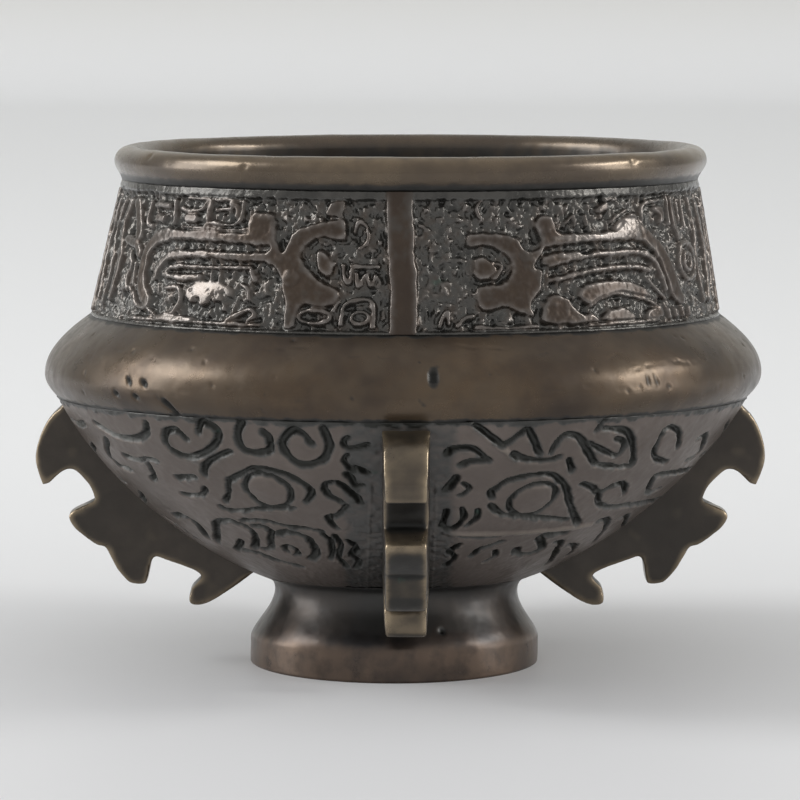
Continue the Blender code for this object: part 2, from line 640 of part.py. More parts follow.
def add_flange(mesh, band, degrees):
    """One flange: the blade between its two side faces, rooted in the bowl's wall."""
    edge = flange_outline()
    root_steps = 5
    first, last = edge[0][0], edge[-1][0]
    root = [(mixed(last, first, k / root_steps), -FLANGE_ROOT_DEPTH)
            for k in range(1, root_steps)]
    loop = edge + root
    section = []
    for down, proud in loop:
        radius, height, normal = band.section(down)
        section.append(Vector((radius + normal[0] * proud, height + normal[1] * proud)))
    count = len(section)
    _, _, triangles, sources, _, _ = delaunay_2d_cdt(
        section, [], [list(range(count))], 1, 0.0001)
    angle = math.radians(degrees)
    across = Vector((math.cos(angle), math.sin(angle), 0.0))
    sides = []
    for sign in (-1.0, 1.0):
        side = []
        for (_, proud), point in zip(loop, section):
            share = min(1.0, max(0.0, proud / FLANGE_PROUD))
            half = mixed(FLANGE_ROOT_THICKNESS, FLANGE_TIP_THICKNESS, share) / 2
            side.append(mesh.verts.new(turned(point.x, point.y, degrees) + across * half * sign))
        sides.append(side)
    for triangle in triangles:
        corners = [sources[k][0] for k in triangle]
        mesh.faces.new([sides[0][k] for k in corners])
        mesh.faces.new([sides[1][k] for k in reversed(corners)])
    for k in range(count):
        following = (k + 1) % count
        mesh.faces.new([sides[0][k], sides[0][following], sides[1][following], sides[1][k]])


def settle(mesh):
    """Lean the body back and to the right on its foot, whose lip keeps flat on the ground."""
    back = math.radians(LEAN_BACK_DEGREES)
    for vertex in mesh.verts:
        x, y, z = vertex.co
        raised = min(1.0, max(0.0, z / FOOT_LIP_HEIGHT))
        sideways = LEAN_RIGHT * (z - LEAN_RIGHT_PIVOT_HEIGHT)
        tilt = back * raised
        vertex.co = (x + sideways, y * math.cos(tilt) + z * math.sin(tilt),
                     z * math.cos(tilt) - y * math.sin(tilt))


def bronze():
    """Dark brown bronze."""
    material = bpy.data.materials.new("bronze")
    material.use_nodes = True
    shader = material.node_tree.nodes["Principled BSDF"]
    shader.inputs["Base Color"].default_value = (0.105, 0.07, 0.05, 1.0)
    shader.inputs["Roughness"].default_value = 0.42
    shader.inputs["Metallic"].default_value = 0.9
    return material


def welded(mesh):
    """Join the strips of a closed shape, turn its faces outwards and lean it on its foot."""
    bmesh.ops.remove_doubles(mesh, verts=mesh.verts, dist=0.002)
    bmesh.ops.recalc_face_normals(mesh, faces=mesh.faces)
    settle(mesh)
    bmesh.ops.triangulate(mesh, faces=mesh.faces)
    return mesh


def vessel(bowl, neck):
    """The turned body with its two carved bands."""
    mesh = bmesh.new()
    turn(mesh, foot_hollow_outline() + foot_outline())
    turn(mesh, belt_outline())
    turn(mesh, lip_outline() + inside_outline()[1:])
    for start, mask, relief in ((-90.0, left_mask, left_neck), (0.0, right_mask, right_neck)):
        strokes, pupils = mask(bowl)
        Quarter(bowl, start, 6, 0.0, CHISEL_DEPTH, strokes, pupils).add_to(mesh, True)
        strokes, bosses = relief(neck)
        Quarter(neck, start, 3, -NECK_SUNK, 0.0, strokes, bosses).add_to(mesh, True)
    return welded(mesh)


def flange_blades(bowl):
    """The four flanges."""
    mesh = bmesh.new()
    for quarter in range(4):
        add_flange(mesh, bowl, 90.0 * quarter)
    return welded(mesh)


def place_in_scene(mesh, name, middle):
    """Turn a bmesh in millimetres into a named object in metres, centred over the origin."""
    bmesh.ops.translate(mesh, vec=-middle, verts=mesh.verts)
    bmesh.ops.scale(mesh, vec=(MM, MM, MM), verts=mesh.verts)
    data = bpy.data.meshes.new(name)
    mesh.to_mesh(data)
    mesh.free()
    placed = bpy.data.objects.new(name, data)
    bpy.context.scene.collection.objects.link(placed)
    return placed


def censer():
    """The whole casting: the vessel with its flanges joined on."""
    bowl = Band(bowl_outline(24), BOWL_SHEET)
    neck = Band(neck_outline(4), NECK_SHEET)
    meshes = (vessel(bowl, neck), flange_blades(bowl))
    corners = [vertex.co for mesh in meshes for vertex in mesh.verts]
    middle = Vector([(min(values) + max(values)) / 2
                     for values in ([c.x for c in corners], [c.y for c in corners])] + [0.0])
    body = place_in_scene(meshes[0], "censer", middle)
    flanges = place_in_scene(meshes[1], "flange_blades", middle)
    flanges.hide_render = True
    flanges.display_type = "WIRE"
    union = body.modifiers.new("flanges", "BOOLEAN")
    union.operation = "UNION"
    union.solver = "EXACT"
    union.object = flanges
    body.data.materials.append(bronze())
    body.data.shade_smooth()
    body.data.set_sharp_from_angle(angle=math.radians(32.0))


for old in list(bpy.data.objects):
    bpy.data.objects.remove(old, do_unlink=True)
censer()
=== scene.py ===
"""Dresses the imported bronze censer: every surface of the casting as fine mesh, its patina, and a
plain studio round it.

Sizes are in millimetres, in the casting's own frame: its axis stands at x = y = 0, the front
flange points along -Y and the foot stands on z = 0. A place on a surface is the angle in degrees
from the front flange, positive to the right, and the distance in millimetres down from the
surface's top edge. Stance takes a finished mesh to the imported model's frame, in metres.
"""

from __future__ import annotations

import json
import logging
import math
from dataclasses import dataclass, field
from enum import Enum
from typing import Callable, Iterable, Sequence

import bmesh
import bpy
import numpy as np
from mathutils import Matrix, Vector
from mathutils.geometry import delaunay_2d_cdt


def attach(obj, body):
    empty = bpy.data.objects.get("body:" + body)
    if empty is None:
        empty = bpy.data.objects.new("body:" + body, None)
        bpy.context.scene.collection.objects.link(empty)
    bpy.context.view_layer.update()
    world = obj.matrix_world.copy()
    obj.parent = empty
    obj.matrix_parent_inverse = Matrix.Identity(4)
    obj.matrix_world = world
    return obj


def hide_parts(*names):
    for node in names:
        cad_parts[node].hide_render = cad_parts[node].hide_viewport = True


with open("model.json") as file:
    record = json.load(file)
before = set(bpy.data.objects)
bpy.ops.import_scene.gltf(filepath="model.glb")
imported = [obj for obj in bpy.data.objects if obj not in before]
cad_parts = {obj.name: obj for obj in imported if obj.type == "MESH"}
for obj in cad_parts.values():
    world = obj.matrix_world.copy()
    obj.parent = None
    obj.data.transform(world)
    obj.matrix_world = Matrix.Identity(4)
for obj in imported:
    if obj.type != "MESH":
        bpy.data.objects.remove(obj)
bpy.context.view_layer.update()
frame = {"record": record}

log = logging.getLogger("censer")

MM = 0.001
CAD_NODE = "censer"
BODY = "root"

Place = tuple[float, float]
Colour = tuple[float, float, float]
Relief = Callable[[np.ndarray, np.ndarray], tuple[np.ndarray, ...]]


def cubic(start: Place, handle_a: Place, handle_b: Place, end: Place, steps: int) -> np.ndarray:
    """Points of a cubic curve, both ends included.

    Args:
        start: First point.
        handle_a: Handle of the first point.
        handle_b: Handle of the last point.
        end: Last point.
        steps: Number of steps from one end to the other.

    Returns:
        An array of steps + 1 points.
    """
    t = np.linspace(0.0, 1.0, steps + 1)[:, None]
    a, b, c, d = (np.array(point, float) for point in (start, handle_a, handle_b, end))
    return (1 - t) ** 3 * a + 3 * (1 - t) ** 2 * t * b + 3 * (1 - t) * t * t * c + t ** 3 * d


def smooth_line(points: Sequence[Place], closed: bool = False, steps: int = 8) -> np.ndarray:
    """Points of a smooth curve through the given ones.

    Args:
        points: Points that the curve goes through.
        closed: Whether it runs back to its first point.
        steps: Steps to each span.

    Returns:
        An array of points.
    """
    through = np.array(points, float)
    if closed:
        ends = np.vstack([through[-1:], through, through[:2]])
    else:
        ends = np.vstack([through[:1], through, through[-1:]])
    t = (np.arange(steps) / steps)[:, None]
    run = []
    for a, b, c, d in zip(ends, ends[1:], ends[2:], ends[3:]):
        run.append(0.5 * (2 * b + (c - a) * t + (2 * a - 5 * b + 4 * c - d) * t * t
                          + (3 * b - a - 3 * c + d) * t ** 3))
    run.append(ends[-2:-1] if not closed else through[:1])
    return np.vstack(run)


def eased(share: np.ndarray) -> np.ndarray:
    """Shares clipped to 0 to 1, with a soft start and end."""
    share = np.clip(share, 0.0, 1.0)
    return share * share * (3.0 - 2.0 * share)


def blurred(field_map: np.ndarray, reach: float) -> np.ndarray:
    """A map softened by a bell curve.

    Args:
        field_map: Rows and columns of values.
        reach: Width of the bell, in cells.

    Returns:
        The softened map, of the same size.
    """
    span = max(1, int(2.5 * reach))
    taps = np.exp(-0.5 * (np.arange(-span, span + 1) / reach) ** 2)
    taps /= taps.sum()
    for axis in (0, 1):
        padding = [(0, 0), (0, 0)]
        padding[axis] = (span, span)
        padded = np.pad(field_map, padding, mode="edge")
        total = np.zeros_like(field_map)
        for k, tap in enumerate(taps):
            window = [slice(None), slice(None)]
            window[axis] = slice(k, k + field_map.shape[axis])
            total += tap * padded[tuple(window)]
        field_map = total
    return field_map


class Grain:
    """Smooth noise in space, the same on every run."""

    CELLS = 32

    def __init__(self, seed: int) -> None:
        """Draw the table of values.

        Args:
            seed: Seed of the draw.
        """
        rng = np.random.default_rng(seed)
        self.table = rng.random((self.CELLS,) * 3) * 2.0 - 1.0

    def at(self, places: np.ndarray, size: float) -> np.ndarray:
        """Noise at places.

        Args:
            places: Points, in millimetres.
            size: Distance between neighbouring bumps, in millimetres.

        Returns:
            Values from -1 to 1.
        """
        spot = np.asarray(places, float) / size
        corner = np.floor(spot).astype(int)
        share = spot - corner
        share = share * share * (3.0 - 2.0 * share)
        total = np.zeros(spot.shape[:-1])
        for dx in (0, 1):
            for dy in (0, 1):
                for dz in (0, 1):
                    weight = (np.abs(1 - dx - share[..., 0]) * np.abs(1 - dy - share[..., 1])
                              * np.abs(1 - dz - share[..., 2]))
                    total += weight * self.table[(corner[..., 0] + dx) % self.CELLS,
                                                 (corner[..., 1] + dy) % self.CELLS,
                                                 (corner[..., 2] + dz) % self.CELLS]
        return total

    def rough(self, places: np.ndarray, size: float, layers: int = 3) -> np.ndarray:
        """Noise with finer and weaker layers laid over it.

        Args:
            places: Points, in millimetres.
            size: Distance between the largest bumps, in millimetres.
            layers: Number of layers.

        Returns:
            Values of about -1 to 1.
        """
        total = np.zeros(np.shape(places)[:-1])
        for k in range(layers):
            total += 0.5 ** k * self.at(np.asarray(places) + 7.3 * k, size * 0.47 ** k)
        return total / (2.0 - 0.5 ** (layers - 1))


class Outline:
    """The section of one surface from its top edge down, read by the distance along it."""

    def __init__(self, points: np.ndarray, side: float = 1.0) -> None:
        """Measure the section.

        Args:
            points: Radius and height of each point, from the top edge down.
            side: 1 when it runs down the outside, -1 when it runs up and over into the inside.
        """
        self.points = np.asarray(points, float)
        steps = np.linalg.norm(np.diff(self.points, axis=0), axis=1)
        self.reached = np.concatenate([[0.0], np.cumsum(steps)])
        self.length = float(self.reached[-1])
        tangent = np.gradient(self.points, self.reached, axis=0)
        tangent /= np.linalg.norm(tangent, axis=1)[:, None]
        self.normals = side * np.stack([-tangent[:, 1], tangent[:, 0]], 1)

    def at(self, down: np.ndarray) -> np.ndarray:
        """Radius and height at distances down the section."""
        return np.stack([np.interp(down, self.reached, self.points[:, k]) for k in (0, 1)], -1)

    def normal(self, down: np.ndarray) -> np.ndarray:
        """Outward normals at distances down the section, as shares of radius and height."""
        return np.stack([np.interp(down, self.reached, self.normals[:, k]) for k in (0, 1)], -1)

    def spaced(self, step: float) -> np.ndarray:
        """Evenly spaced distances down the section, both ends included."""
        return np.linspace(0.0, self.length, max(2, round(self.length / step) + 1))


class Work(Enum):
    """How a line of carving is worked."""

    CHISELLED = "a rounded groove with a slight burr along both sides"
    STANDING = "a flat-topped band left standing above the sunken ground"
    WIRE = "a narrow round ridge"
    SCRATCH = "a shallow hairline"
    FIELD = "an area left standing inside its outline"


@dataclass(frozen=True)
class Stroke:
    """One line of carving on a sheet."""

    points: tuple[Place, ...]
    width: float
    work: Work
    depth: float = 1.0
    closed: bool = False


def cut(*points: Place, width: float = 1.3, depth: float = 1.0) -> Stroke:
    """A chiselled line, its depth a share of the usual one."""
    return Stroke(points, width, Work.CHISELLED, depth)


def band(width: float, *points: Place) -> Stroke:
    """A band left standing."""
    return Stroke(points, width, Work.STANDING)


def wire(*points: Place, width: float = 0.9, closed: bool = False) -> Stroke:
    """A narrow round ridge."""
    return Stroke(points, width, Work.WIRE, closed=closed)


def standing_field(*points: Place) -> Stroke:
    """An area left standing, given by its outline."""
    return Stroke(points, 0.2, Work.FIELD, closed=True)


def oval(centre: Place, wide: float, high: float, degree: float, sides: int = 12) -> tuple[Place, ...]:
    """Points of a round or oval loop.

    Args:
        centre: Middle of the loop.
        wide: Half width in millimetres.
        high: Half height in millimetres.
        degree: Millimetres to one degree there.
        sides: Number of points.

    Returns:
        The loop's points, the first not repeated.
    """
    return tuple((centre[0] + wide / degree * math.cos(2 * math.pi * k / sides),
                  centre[1] + high * math.sin(2 * math.pi * k / sides)) for k in range(sides))


@dataclass(frozen=True)
class Boss:
    """A low dome standing on a sheet."""

    centre: Place
    wide: float
    high: float
    lift: float


class Sheet:
    """Height map of the carving between the left and the right flange, seen from the front."""

    SPREAD = 90.0
    SLOPE = 0.75

    def __init__(self, outline: Outline, step: float, grain: Grain) -> None:
        """Lay out a flat sheet.

        Args:
            outline: Section of the surface that carries the sheet.
            step: Size of a cell in millimetres.
            grain: Noise that makes the chisel's hand unsteady.
        """
        self.outline = outline
        self.grain = grain
        self.downs = outline.spaced(step)
        self.step = float(self.downs[1])
        self.degree = np.radians(outline.at(self.downs)[:, 0])
        widest = float(self.degree.max())
        self.degrees = np.linspace(-self.SPREAD, self.SPREAD,
                                   round(2 * self.SPREAD * widest / step) + 1)
        self.turn_step = float(self.degrees[1] - self.degrees[0])
        angle, down = np.meshgrid(self.degrees, self.downs)
        self.places = np.stack([angle * float(self.degree.mean()), down,
                                np.zeros_like(down)], -1)
        shape = down.shape
        self.up = np.zeros(shape)
        self.cuts = np.zeros(shape)
        self.burr = np.zeros(shape)
        self.wires = np.zeros(shape)
        self.rise = np.zeros(shape)
        self.hollow = np.zeros(shape)
        self.wear = np.zeros(shape)
        self.unsteady = 0.26 * grain.rough(self.places, 1.5, 3)
        self.pressure = 1.0 + 0.25 * grain.at(self.places + 31.0, 4.0)

    def degree_at(self, down: float) -> float:
        """Millimetres to one degree at a distance down the sheet."""
        return float(np.interp(down, self.downs, self.degree))

    def window(self, low: Place, high: Place, reach: float) -> tuple[slice, slice]:
        """Rows and columns of the cells near a part of the sheet.

        Args:
            low: Lowest angle and distance down of the part.
            high: Highest angle and distance down of the part.
            reach: How far round it the window goes, in millimetres.

        Returns:
            A slice of rows and a slice of columns.
        """
        wide = reach / float(self.degree.min())
        row = [int((low[1] - reach) / self.step), int((high[1] + reach) / self.step) + 2]
        column = [int((low[0] - wide + self.SPREAD) / self.turn_step),
                  int((high[0] + wide + self.SPREAD) / self.turn_step) + 2]
        rows, columns = self.up.shape
        return (slice(max(0, row[0]), min(rows, max(0, row[1]))),
                slice(max(0, column[0]), min(columns, max(0, column[1]))))

    def gaps(self, stroke: Stroke, reach: float) -> tuple[tuple[slice, slice], np.ndarray,
                                                          np.ndarray]:
        """Distance of each cell near a stroke from its centre line.

        Args:
            stroke: The stroke.
            reach: How far from the line distances are wanted.

        Returns:
            The window of cells, their distances, and their place along the line from its nearer
            end, in millimetres.
        """
        line = smooth_line(stroke.points, stroke.closed)
        cells = self.window(tuple(line.min(0)), tuple(line.max(0)), reach)
        degrees = self.degrees[cells[1]]
        downs = self.downs[cells[0]]
        scale = self.degree[cells[0]][:, None]
        best = np.full((len(downs), len(degrees)), np.inf)
        along = np.zeros_like(best)
        lengths = np.hypot(np.diff(line[:, 0]) * float(self.degree.mean()), np.diff(line[:, 1]))
        reached = np.concatenate([[0.0], np.cumsum(lengths)])
        for k, (a, b) in enumerate(zip(line, line[1:])):
            part = self.window((min(a[0], b[0]), min(a[1], b[1])),
                               (max(a[0], b[0]), max(a[1], b[1])), reach)
            rows = slice(part[0].start - cells[0].start, part[0].stop - cells[0].start)
            columns = slice(part[1].start - cells[1].start, part[1].stop - cells[1].start)
            size = scale[rows]
            if not size.size:
                continue
            from_x = (degrees[columns][None, :] - a[0]) * size
            from_y = (downs[rows] - a[1])[:, None]
            run_x = (b[0] - a[0]) * size
            run_y = b[1] - a[1]
            share = np.clip((from_x * run_x + from_y * run_y)
                            / np.maximum(run_x ** 2 + run_y ** 2, 1e-9), 0.0, 1.0)
            gap = np.hypot(from_x - run_x * share, from_y - run_y * share)
            place = reached[k] + lengths[k] * share
            nearer = gap < best[rows, columns]
            best[rows, columns] = np.where(nearer, gap, best[rows, columns])
            along[rows, columns] = np.where(nearer, np.minimum(place, reached[-1] - place),
                                            along[rows, columns])
        return cells, best, along

    def inside(self, stroke: Stroke, cells: tuple[slice, slice]) -> np.ndarray:
        """Which cells of a window lie inside a closed outline.

        Args:
            stroke: The outline.
            cells: Window of the sheet.

        Returns:
            True for each cell inside.
        """
        line = smooth_line(stroke.points, True)
        across = self.degrees[cells[1]][None, :]
        below = self.downs[cells[0]][:, None]
        found = np.zeros((below.shape[0], across.shape[1]), bool)
        for (ax, ay), (bx, by) in zip(line, np.roll(line, -1, 0)):
            if ay == by:
                continue
            crossed = (below > ay) != (below > by)
            found ^= crossed & (across < ax + (below - ay) * (bx - ax) / (by - ay))
        return found

    def carve(self, strokes: Iterable[Stroke]) -> None:
        """Work strokes into the sheet."""
        for stroke in strokes:
            half = stroke.width / 2
            cells, gap, along = self.gaps(stroke, half + 1.4)
            if stroke.work is Work.FIELD:
                gap = np.where(self.inside(stroke, cells), -np.minimum(gap, 1.4), gap)
            gap = gap + self.unsteady[cells]
            if stroke.work in (Work.STANDING, Work.FIELD):
                share = eased((half + 0.5 * self.SLOPE - gap) / self.SLOPE)
                self.up[cells] = np.maximum(self.up[cells], share)
            elif stroke.work is Work.WIRE:
                share = np.clip(1.0 - (gap / (half + 0.15)) ** 2, 0.0, 1.0) ** 0.7
                self.wires[cells] = np.maximum(self.wires[cells], share)
            elif stroke.work is Work.SCRATCH:
                share = np.clip(1.0 - (gap / half) ** 2, 0.0, 1.0)
                self.cuts[cells] = np.maximum(self.cuts[cells], share * stroke.depth)
            else:
                run_out = 1.0 if stroke.closed else eased(0.5 + along / 0.8)
                deep = stroke.depth * self.pressure[cells] * run_out
                share = np.clip(1.0 - (gap / half) ** 2, 0.0, 1.0) ** 0.8
                self.cuts[cells] = np.maximum(self.cuts[cells], share * deep)
                side = np.exp(-((gap - half - 0.2) / 0.22) ** 2) * deep
                self.burr[cells] = np.maximum(self.burr[cells], side)

    def raise_bosses(self, bosses: Iterable[Boss]) -> None:
        """Raise low domes on the sheet, over what is carved there."""
        for boss in bosses:
            cells, across, below = self.oval_shares(boss)
            dome = np.clip(1.0 - across ** 2 - below ** 2, 0.0, 1.0) ** 0.5
            self.rise[cells] += boss.lift * dome
            self.hollow[cells] *= 1.0 - 0.9 * eased(dome * 2.0)

    def rub_and_highlight(self, spots: Iterable[Boss]) -> None:
        """Paint rounded spots with the worn colour, partly worn metal and partly a painted highlight
        along lit crests; lift says how much.
        """
        for spot in spots:
            cells, across, below = self.oval_shares(spot)
            share = spot.lift * eased(1.6 - 1.6 * (across ** 2 + below ** 2))
            self.wear[cells] = np.maximum(self.wear[cells], share * (1.0 - self.hollow[cells]))

    def file_facets(self, facets: Iterable[Boss]) -> None:
        """Rub oval facets that slope back at their tops and give them the worn colour, partly worn
        metal and partly a painted highlight; lift is how far the foot of one stands.
        """
        for facet in facets:
            cells, across, below = self.oval_shares(facet)
            edge = 0.9 * self.unsteady[cells] * np.clip(0.5 + 1.5 * below, 0.2, 1.6)
            share = eased(2.6 - 2.6 * (across ** 2 + below ** 2 + edge))
            share *= 1.0 - 0.85 * eased(7.0 * self.unsteady[cells] + 1.2 * below - 0.3)
            dome = np.clip(1.0 - across ** 2 - below ** 2, 0.0, 1.0) ** 0.5
            slope = facet.lift * (0.35 * below + 0.3 * dome - 0.3)
            self.rise[cells] += share * (slope - np.minimum(self.rise[cells], 0.0))
            self.hollow[cells] *= 1.0 - share
            # Worn colour on the facet: partly worn metal, partly painted highlight.
            self.wear[cells] = np.maximum(self.wear[cells], 0.7 * share)

    def oval_shares(self, boss: Boss) -> tuple[tuple[slice, slice], np.ndarray, np.ndarray]:
        """Cells round an oval, and how far across and down it each lies, 1 at its outline."""
        cells = self.window(boss.centre, boss.centre, max(boss.wide, boss.high))
        scale = self.degree[cells[0]][:, None]
        across = (self.degrees[cells[1]][None, :] - boss.centre[0]) * scale / boss.wide
        below = (self.downs[cells[0]] - boss.centre[1])[:, None] / boss.high
        return cells, across, below + np.zeros_like(across)

    def weather(self, reach: float, strength: float) -> None:
        """Work out where handling has worn the relief bright.

        Args:
            reach: How far round it an edge has to stand proud, in millimetres.
            strength: Millimetres of standing proud that count as fully worn.
        """
        proud = self.rise - blurred(self.rise, reach / self.step)
        self.wear = np.clip(proud / strength, 0.0, 1.0)

    def read(self, name: str, degrees: np.ndarray, downs: np.ndarray) -> np.ndarray:
        """Values of one of the sheet's maps.

        Args:
            name: Name of the map: rise, hollow or wear.
            degrees: Angles from the front flange, any turn.
            downs: Distances down the sheet.

        Returns:
            One value for each place. Behind the side flanges the sheet is mirrored.
        """
        turned = (np.asarray(degrees) + 180.0) % 360.0 - 180.0
        behind = np.abs(turned) > self.SPREAD
        turned = np.where(behind, np.sign(turned) * 180.0 - turned, turned)
        row = np.clip(downs / self.step, 0.0, len(self.downs) - 1.001)
        column = np.clip((turned + self.SPREAD) / self.turn_step, 0.0,
                         len(self.degrees) - 1.001)
        r, c = row.astype(int), column.astype(int)
        fr, fc = row - r, column - c
        values = getattr(self, name)
        return ((values[r, c] * (1 - fc) + values[r, c + 1] * fc) * (1 - fr)
                + (values[r + 1, c] * (1 - fc) + values[r + 1, c + 1] * fc) * fr)


@dataclass(frozen=True)
class Stance:
    """How the body sits on its foot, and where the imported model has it."""

    lean_back: float = 3.0
    lean_right: float = 0.033
    pivot_height: float = 44.5
    level_height: float = 3.8
    ring_middle: float = 20.7
    wobble: float = 0.16
    wobble_size: float = 17.0

    def placed(self, points: np.ndarray, grain: Grain) -> np.ndarray:
        """Points of the casting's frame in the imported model's.

        Args:
            points: Points in millimetres.
            grain: Noise that keeps the casting from being perfectly true.

        Returns:
            Points in metres.
        """
        radius = np.maximum(np.hypot(points[:, 0], points[:, 1]), 1e-6)
        untrue = self.wobble * grain.at(points, self.wobble_size)
        untrue *= np.clip(points[:, 2] / self.level_height, 0.0, 1.0)
        x = points[:, 0] * (1.0 + untrue / radius)
        y = points[:, 1] * (1.0 + untrue / radius)
        z = points[:, 2]
        x = x + self.lean_right * (z - self.pivot_height)
        tilt = math.radians(self.lean_back) * np.clip(z / self.level_height, 0.0, 1.0)
        y, z = y * np.cos(tilt) + z * np.sin(tilt), z * np.cos(tilt) - y * np.sin(tilt)
        shift = self.shift()
        return np.stack([x + shift.x, y + shift.y, z], 1) * MM

    def shift(self) -> Vector:
        """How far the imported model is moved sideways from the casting's frame, in millimetres."""
        mount = Vector(frame["record"]["mounts"][0]["pos_m"]) / MM
        foot_middle = self.lean_right * -self.pivot_height
        return Vector((mount.x - foot_middle, mount.y + self.ring_middle, 0.0))


class Lathe:
    """Geometry Nodes tree that turns a section about the vertical axis."""

    MERGE = 0.0005

    def __init__(self) -> None:
        """Build the tree."""
        tree = bpy.data.node_groups.new("turned_casting", "GeometryNodeTree")
        self.tree = tree
        for name, kind in (("Section", "NodeSocketGeometry"), ("Columns", "NodeSocketInt"),
                           ("Start degrees", "NodeSocketFloat"),
                           ("Sweep degrees", "NodeSocketFloat"),
                           ("Bronze", "NodeSocketMaterial")):
            tree.interface.new_socket(name, in_out="INPUT", socket_type=kind)
        tree.interface.new_socket("Casting", in_out="OUTPUT", socket_type="NodeSocketGeometry")
        given = tree.nodes.new("NodeGroupInput")
        size = tree.nodes.new("GeometryNodeAttributeDomainSize")
        self.join(given.outputs["Section"], size.inputs["Geometry"])
        rows = size.outputs["Point Count"]
        grid = tree.nodes.new("GeometryNodeMeshGrid")
        self.join(given.outputs["Columns"], grid.inputs["Vertices X"])
        self.join(rows, grid.inputs["Vertices Y"])
        index = tree.nodes.new("GeometryNodeInputIndex").outputs["Index"]
        row = self.math("MODULO", index, rows)
        column = self.math("FLOOR", self.math("DIVIDE", index, rows))
        last = self.math("SUBTRACT", given.outputs["Columns"], 1.0)
        turn = self.math("DIVIDE", self.math("MULTIPLY", column, given.outputs["Sweep degrees"]),
                         last)
        angle = self.math("RADIANS", self.math("ADD", turn, given.outputs["Start degrees"]))
        position = tree.nodes.new("GeometryNodeInputPosition").outputs["Position"]
        section = self.sampled(given.outputs["Section"], "FLOAT_VECTOR", position, row)
        split = tree.nodes.new("ShaderNodeSeparateXYZ")
        self.join(section, split.inputs["Vector"])
        radius, height = split.outputs["X"], split.outputs["Z"]
        place = tree.nodes.new("ShaderNodeCombineXYZ")
        self.join(self.math("MULTIPLY", radius, self.math("SINE", angle)), place.inputs["X"])
        backward = self.math("MULTIPLY", radius, self.math("COSINE", angle))
        self.join(self.math("MULTIPLY", backward, -1.0), place.inputs["Y"])
        self.join(height, place.inputs["Z"])
        named = tree.nodes.new("GeometryNodeInputNamedAttribute")
        named.data_type = "FLOAT"
        named.inputs["Name"].default_value = "down"
        down = self.sampled(given.outputs["Section"], "FLOAT", named.outputs["Attribute"], row)
        stored = tree.nodes.new("GeometryNodeStoreNamedAttribute")
        stored.data_type = "FLOAT"
        stored.domain = "POINT"
        stored.inputs["Name"].default_value = "down"
        self.join(grid.outputs["Mesh"], stored.inputs["Geometry"])
        self.join(down, stored.inputs["Value"])
        moved = tree.nodes.new("GeometryNodeSetPosition")
        self.join(stored.outputs["Geometry"], moved.inputs["Geometry"])
        self.join(place.outputs["Vector"], moved.inputs["Position"])
        merged = tree.nodes.new("GeometryNodeMergeByDistance")
        merged.inputs["Distance"].default_value = self.MERGE
        self.join(moved.outputs["Geometry"], merged.inputs["Geometry"])
        realized = tree.nodes.new("GeometryNodeRealizeInstances")
        self.join(merged.outputs["Geometry"], realized.inputs["Geometry"])
        dressed = tree.nodes.new("GeometryNodeSetMaterial")
        self.join(realized.outputs["Geometry"], dressed.inputs["Geometry"])
        self.join(given.outputs["Bronze"], dressed.inputs["Material"])
        result = tree.nodes.new("NodeGroupOutput")
        self.join(dressed.outputs["Geometry"], result.inputs["Casting"])

    def join(self, output: bpy.types.NodeSocket, into: bpy.types.NodeSocket) -> None:
        """Link two sockets."""
        self.tree.links.new(output, into)

    def math(self, operation: str, *values: bpy.types.NodeSocket | float) -> bpy.types.NodeSocket:
        """A calculation on one or two values.

        Args:
            operation: Blender's name for the calculation.
            values: Sockets or numbers.

        Returns:
            The socket with the result.
        """
        node = self.tree.nodes.new("ShaderNodeMath")
        node.operation = operation
        for socket, value in zip(node.inputs, values):
            if isinstance(value, (int, float)):
                socket.default_value = value
            else:
                self.join(value, socket)
        return node.outputs["Value"]

    def sampled(self, geometry: bpy.types.NodeSocket, kind: str, value: bpy.types.NodeSocket,
                index: bpy.types.NodeSocket) -> bpy.types.NodeSocket:
        """A value of one point of the section.

        Args:
            geometry: The section.
            kind: Blender's name for the type of value.
            value: The value as a field on the section.
            index: Number of the point.

        Returns:
            The socket with the value.
        """
        node = self.tree.nodes.new("GeometryNodeSampleIndex")
        node.data_type = kind
        node.domain = "POINT"
        self.join(geometry, node.inputs["Geometry"])
        self.join(value, node.inputs["Value"])
        self.join(index, node.inputs["Index"])
        return node.outputs["Value"]

    def turn(self, name: str, section: np.ndarray, downs: np.ndarray, columns: int,
             start: float, sweep: float, bronze: bpy.types.Material) -> bpy.types.Mesh:
        """Turn a section into a mesh.

        Args:
            name: Name of the piece.
            section: Radius and height of each point of the section.
            downs: Distance down the carved surface at each point, or -1 off it.
            columns: Number of copies of the section round the turn.
            start: Angle of the first copy.
            sweep: Angle from the first copy to the last.
            bronze: Material of the piece.

        Returns:
            The mesh, in millimetres, with the attribute down on its points.
        """
        profile = bpy.data.meshes.new(name + "_section")
        profile.from_pydata([(r, 0.0, z) for r, z in section],
                            [(k, k + 1) for k in range(len(section) - 1)], [])
        profile.attributes.new("down", "FLOAT", "POINT").data.foreach_set(
            "value", np.asarray(downs, np.float32))
        blank = bpy.data.objects.new(name + "_blank", profile)
        bpy.context.scene.collection.objects.link(blank)
        modifier = blank.modifiers.new("turned", "NODES")
        modifier.node_group = self.tree
        for socket, value in (("Columns", columns), ("Start degrees", start),
                              ("Sweep degrees", sweep), ("Bronze", bronze)):
            modifier[self.tree.interface.items_tree[socket].identifier] = value
        mesh = plain_mesh(blank)
        mesh.name = name
        return mesh


def plain_mesh(source: bpy.types.Object) -> bpy.types.Mesh:
    """Apply an object's modifiers to a new mesh and remove the object.

    Args:
        source: The object.

    Returns:
        Its finished mesh.
    """
    bpy.context.view_layer.update()
    evaluated = source.evaluated_get(bpy.context.evaluated_depsgraph_get())
    mesh = bpy.data.meshes.new_from_object(evaluated)
    source.modifiers.clear()
    data = source.data
    bpy.data.objects.remove(source, do_unlink=True)
    bpy.data.meshes.remove(data)
    return mesh


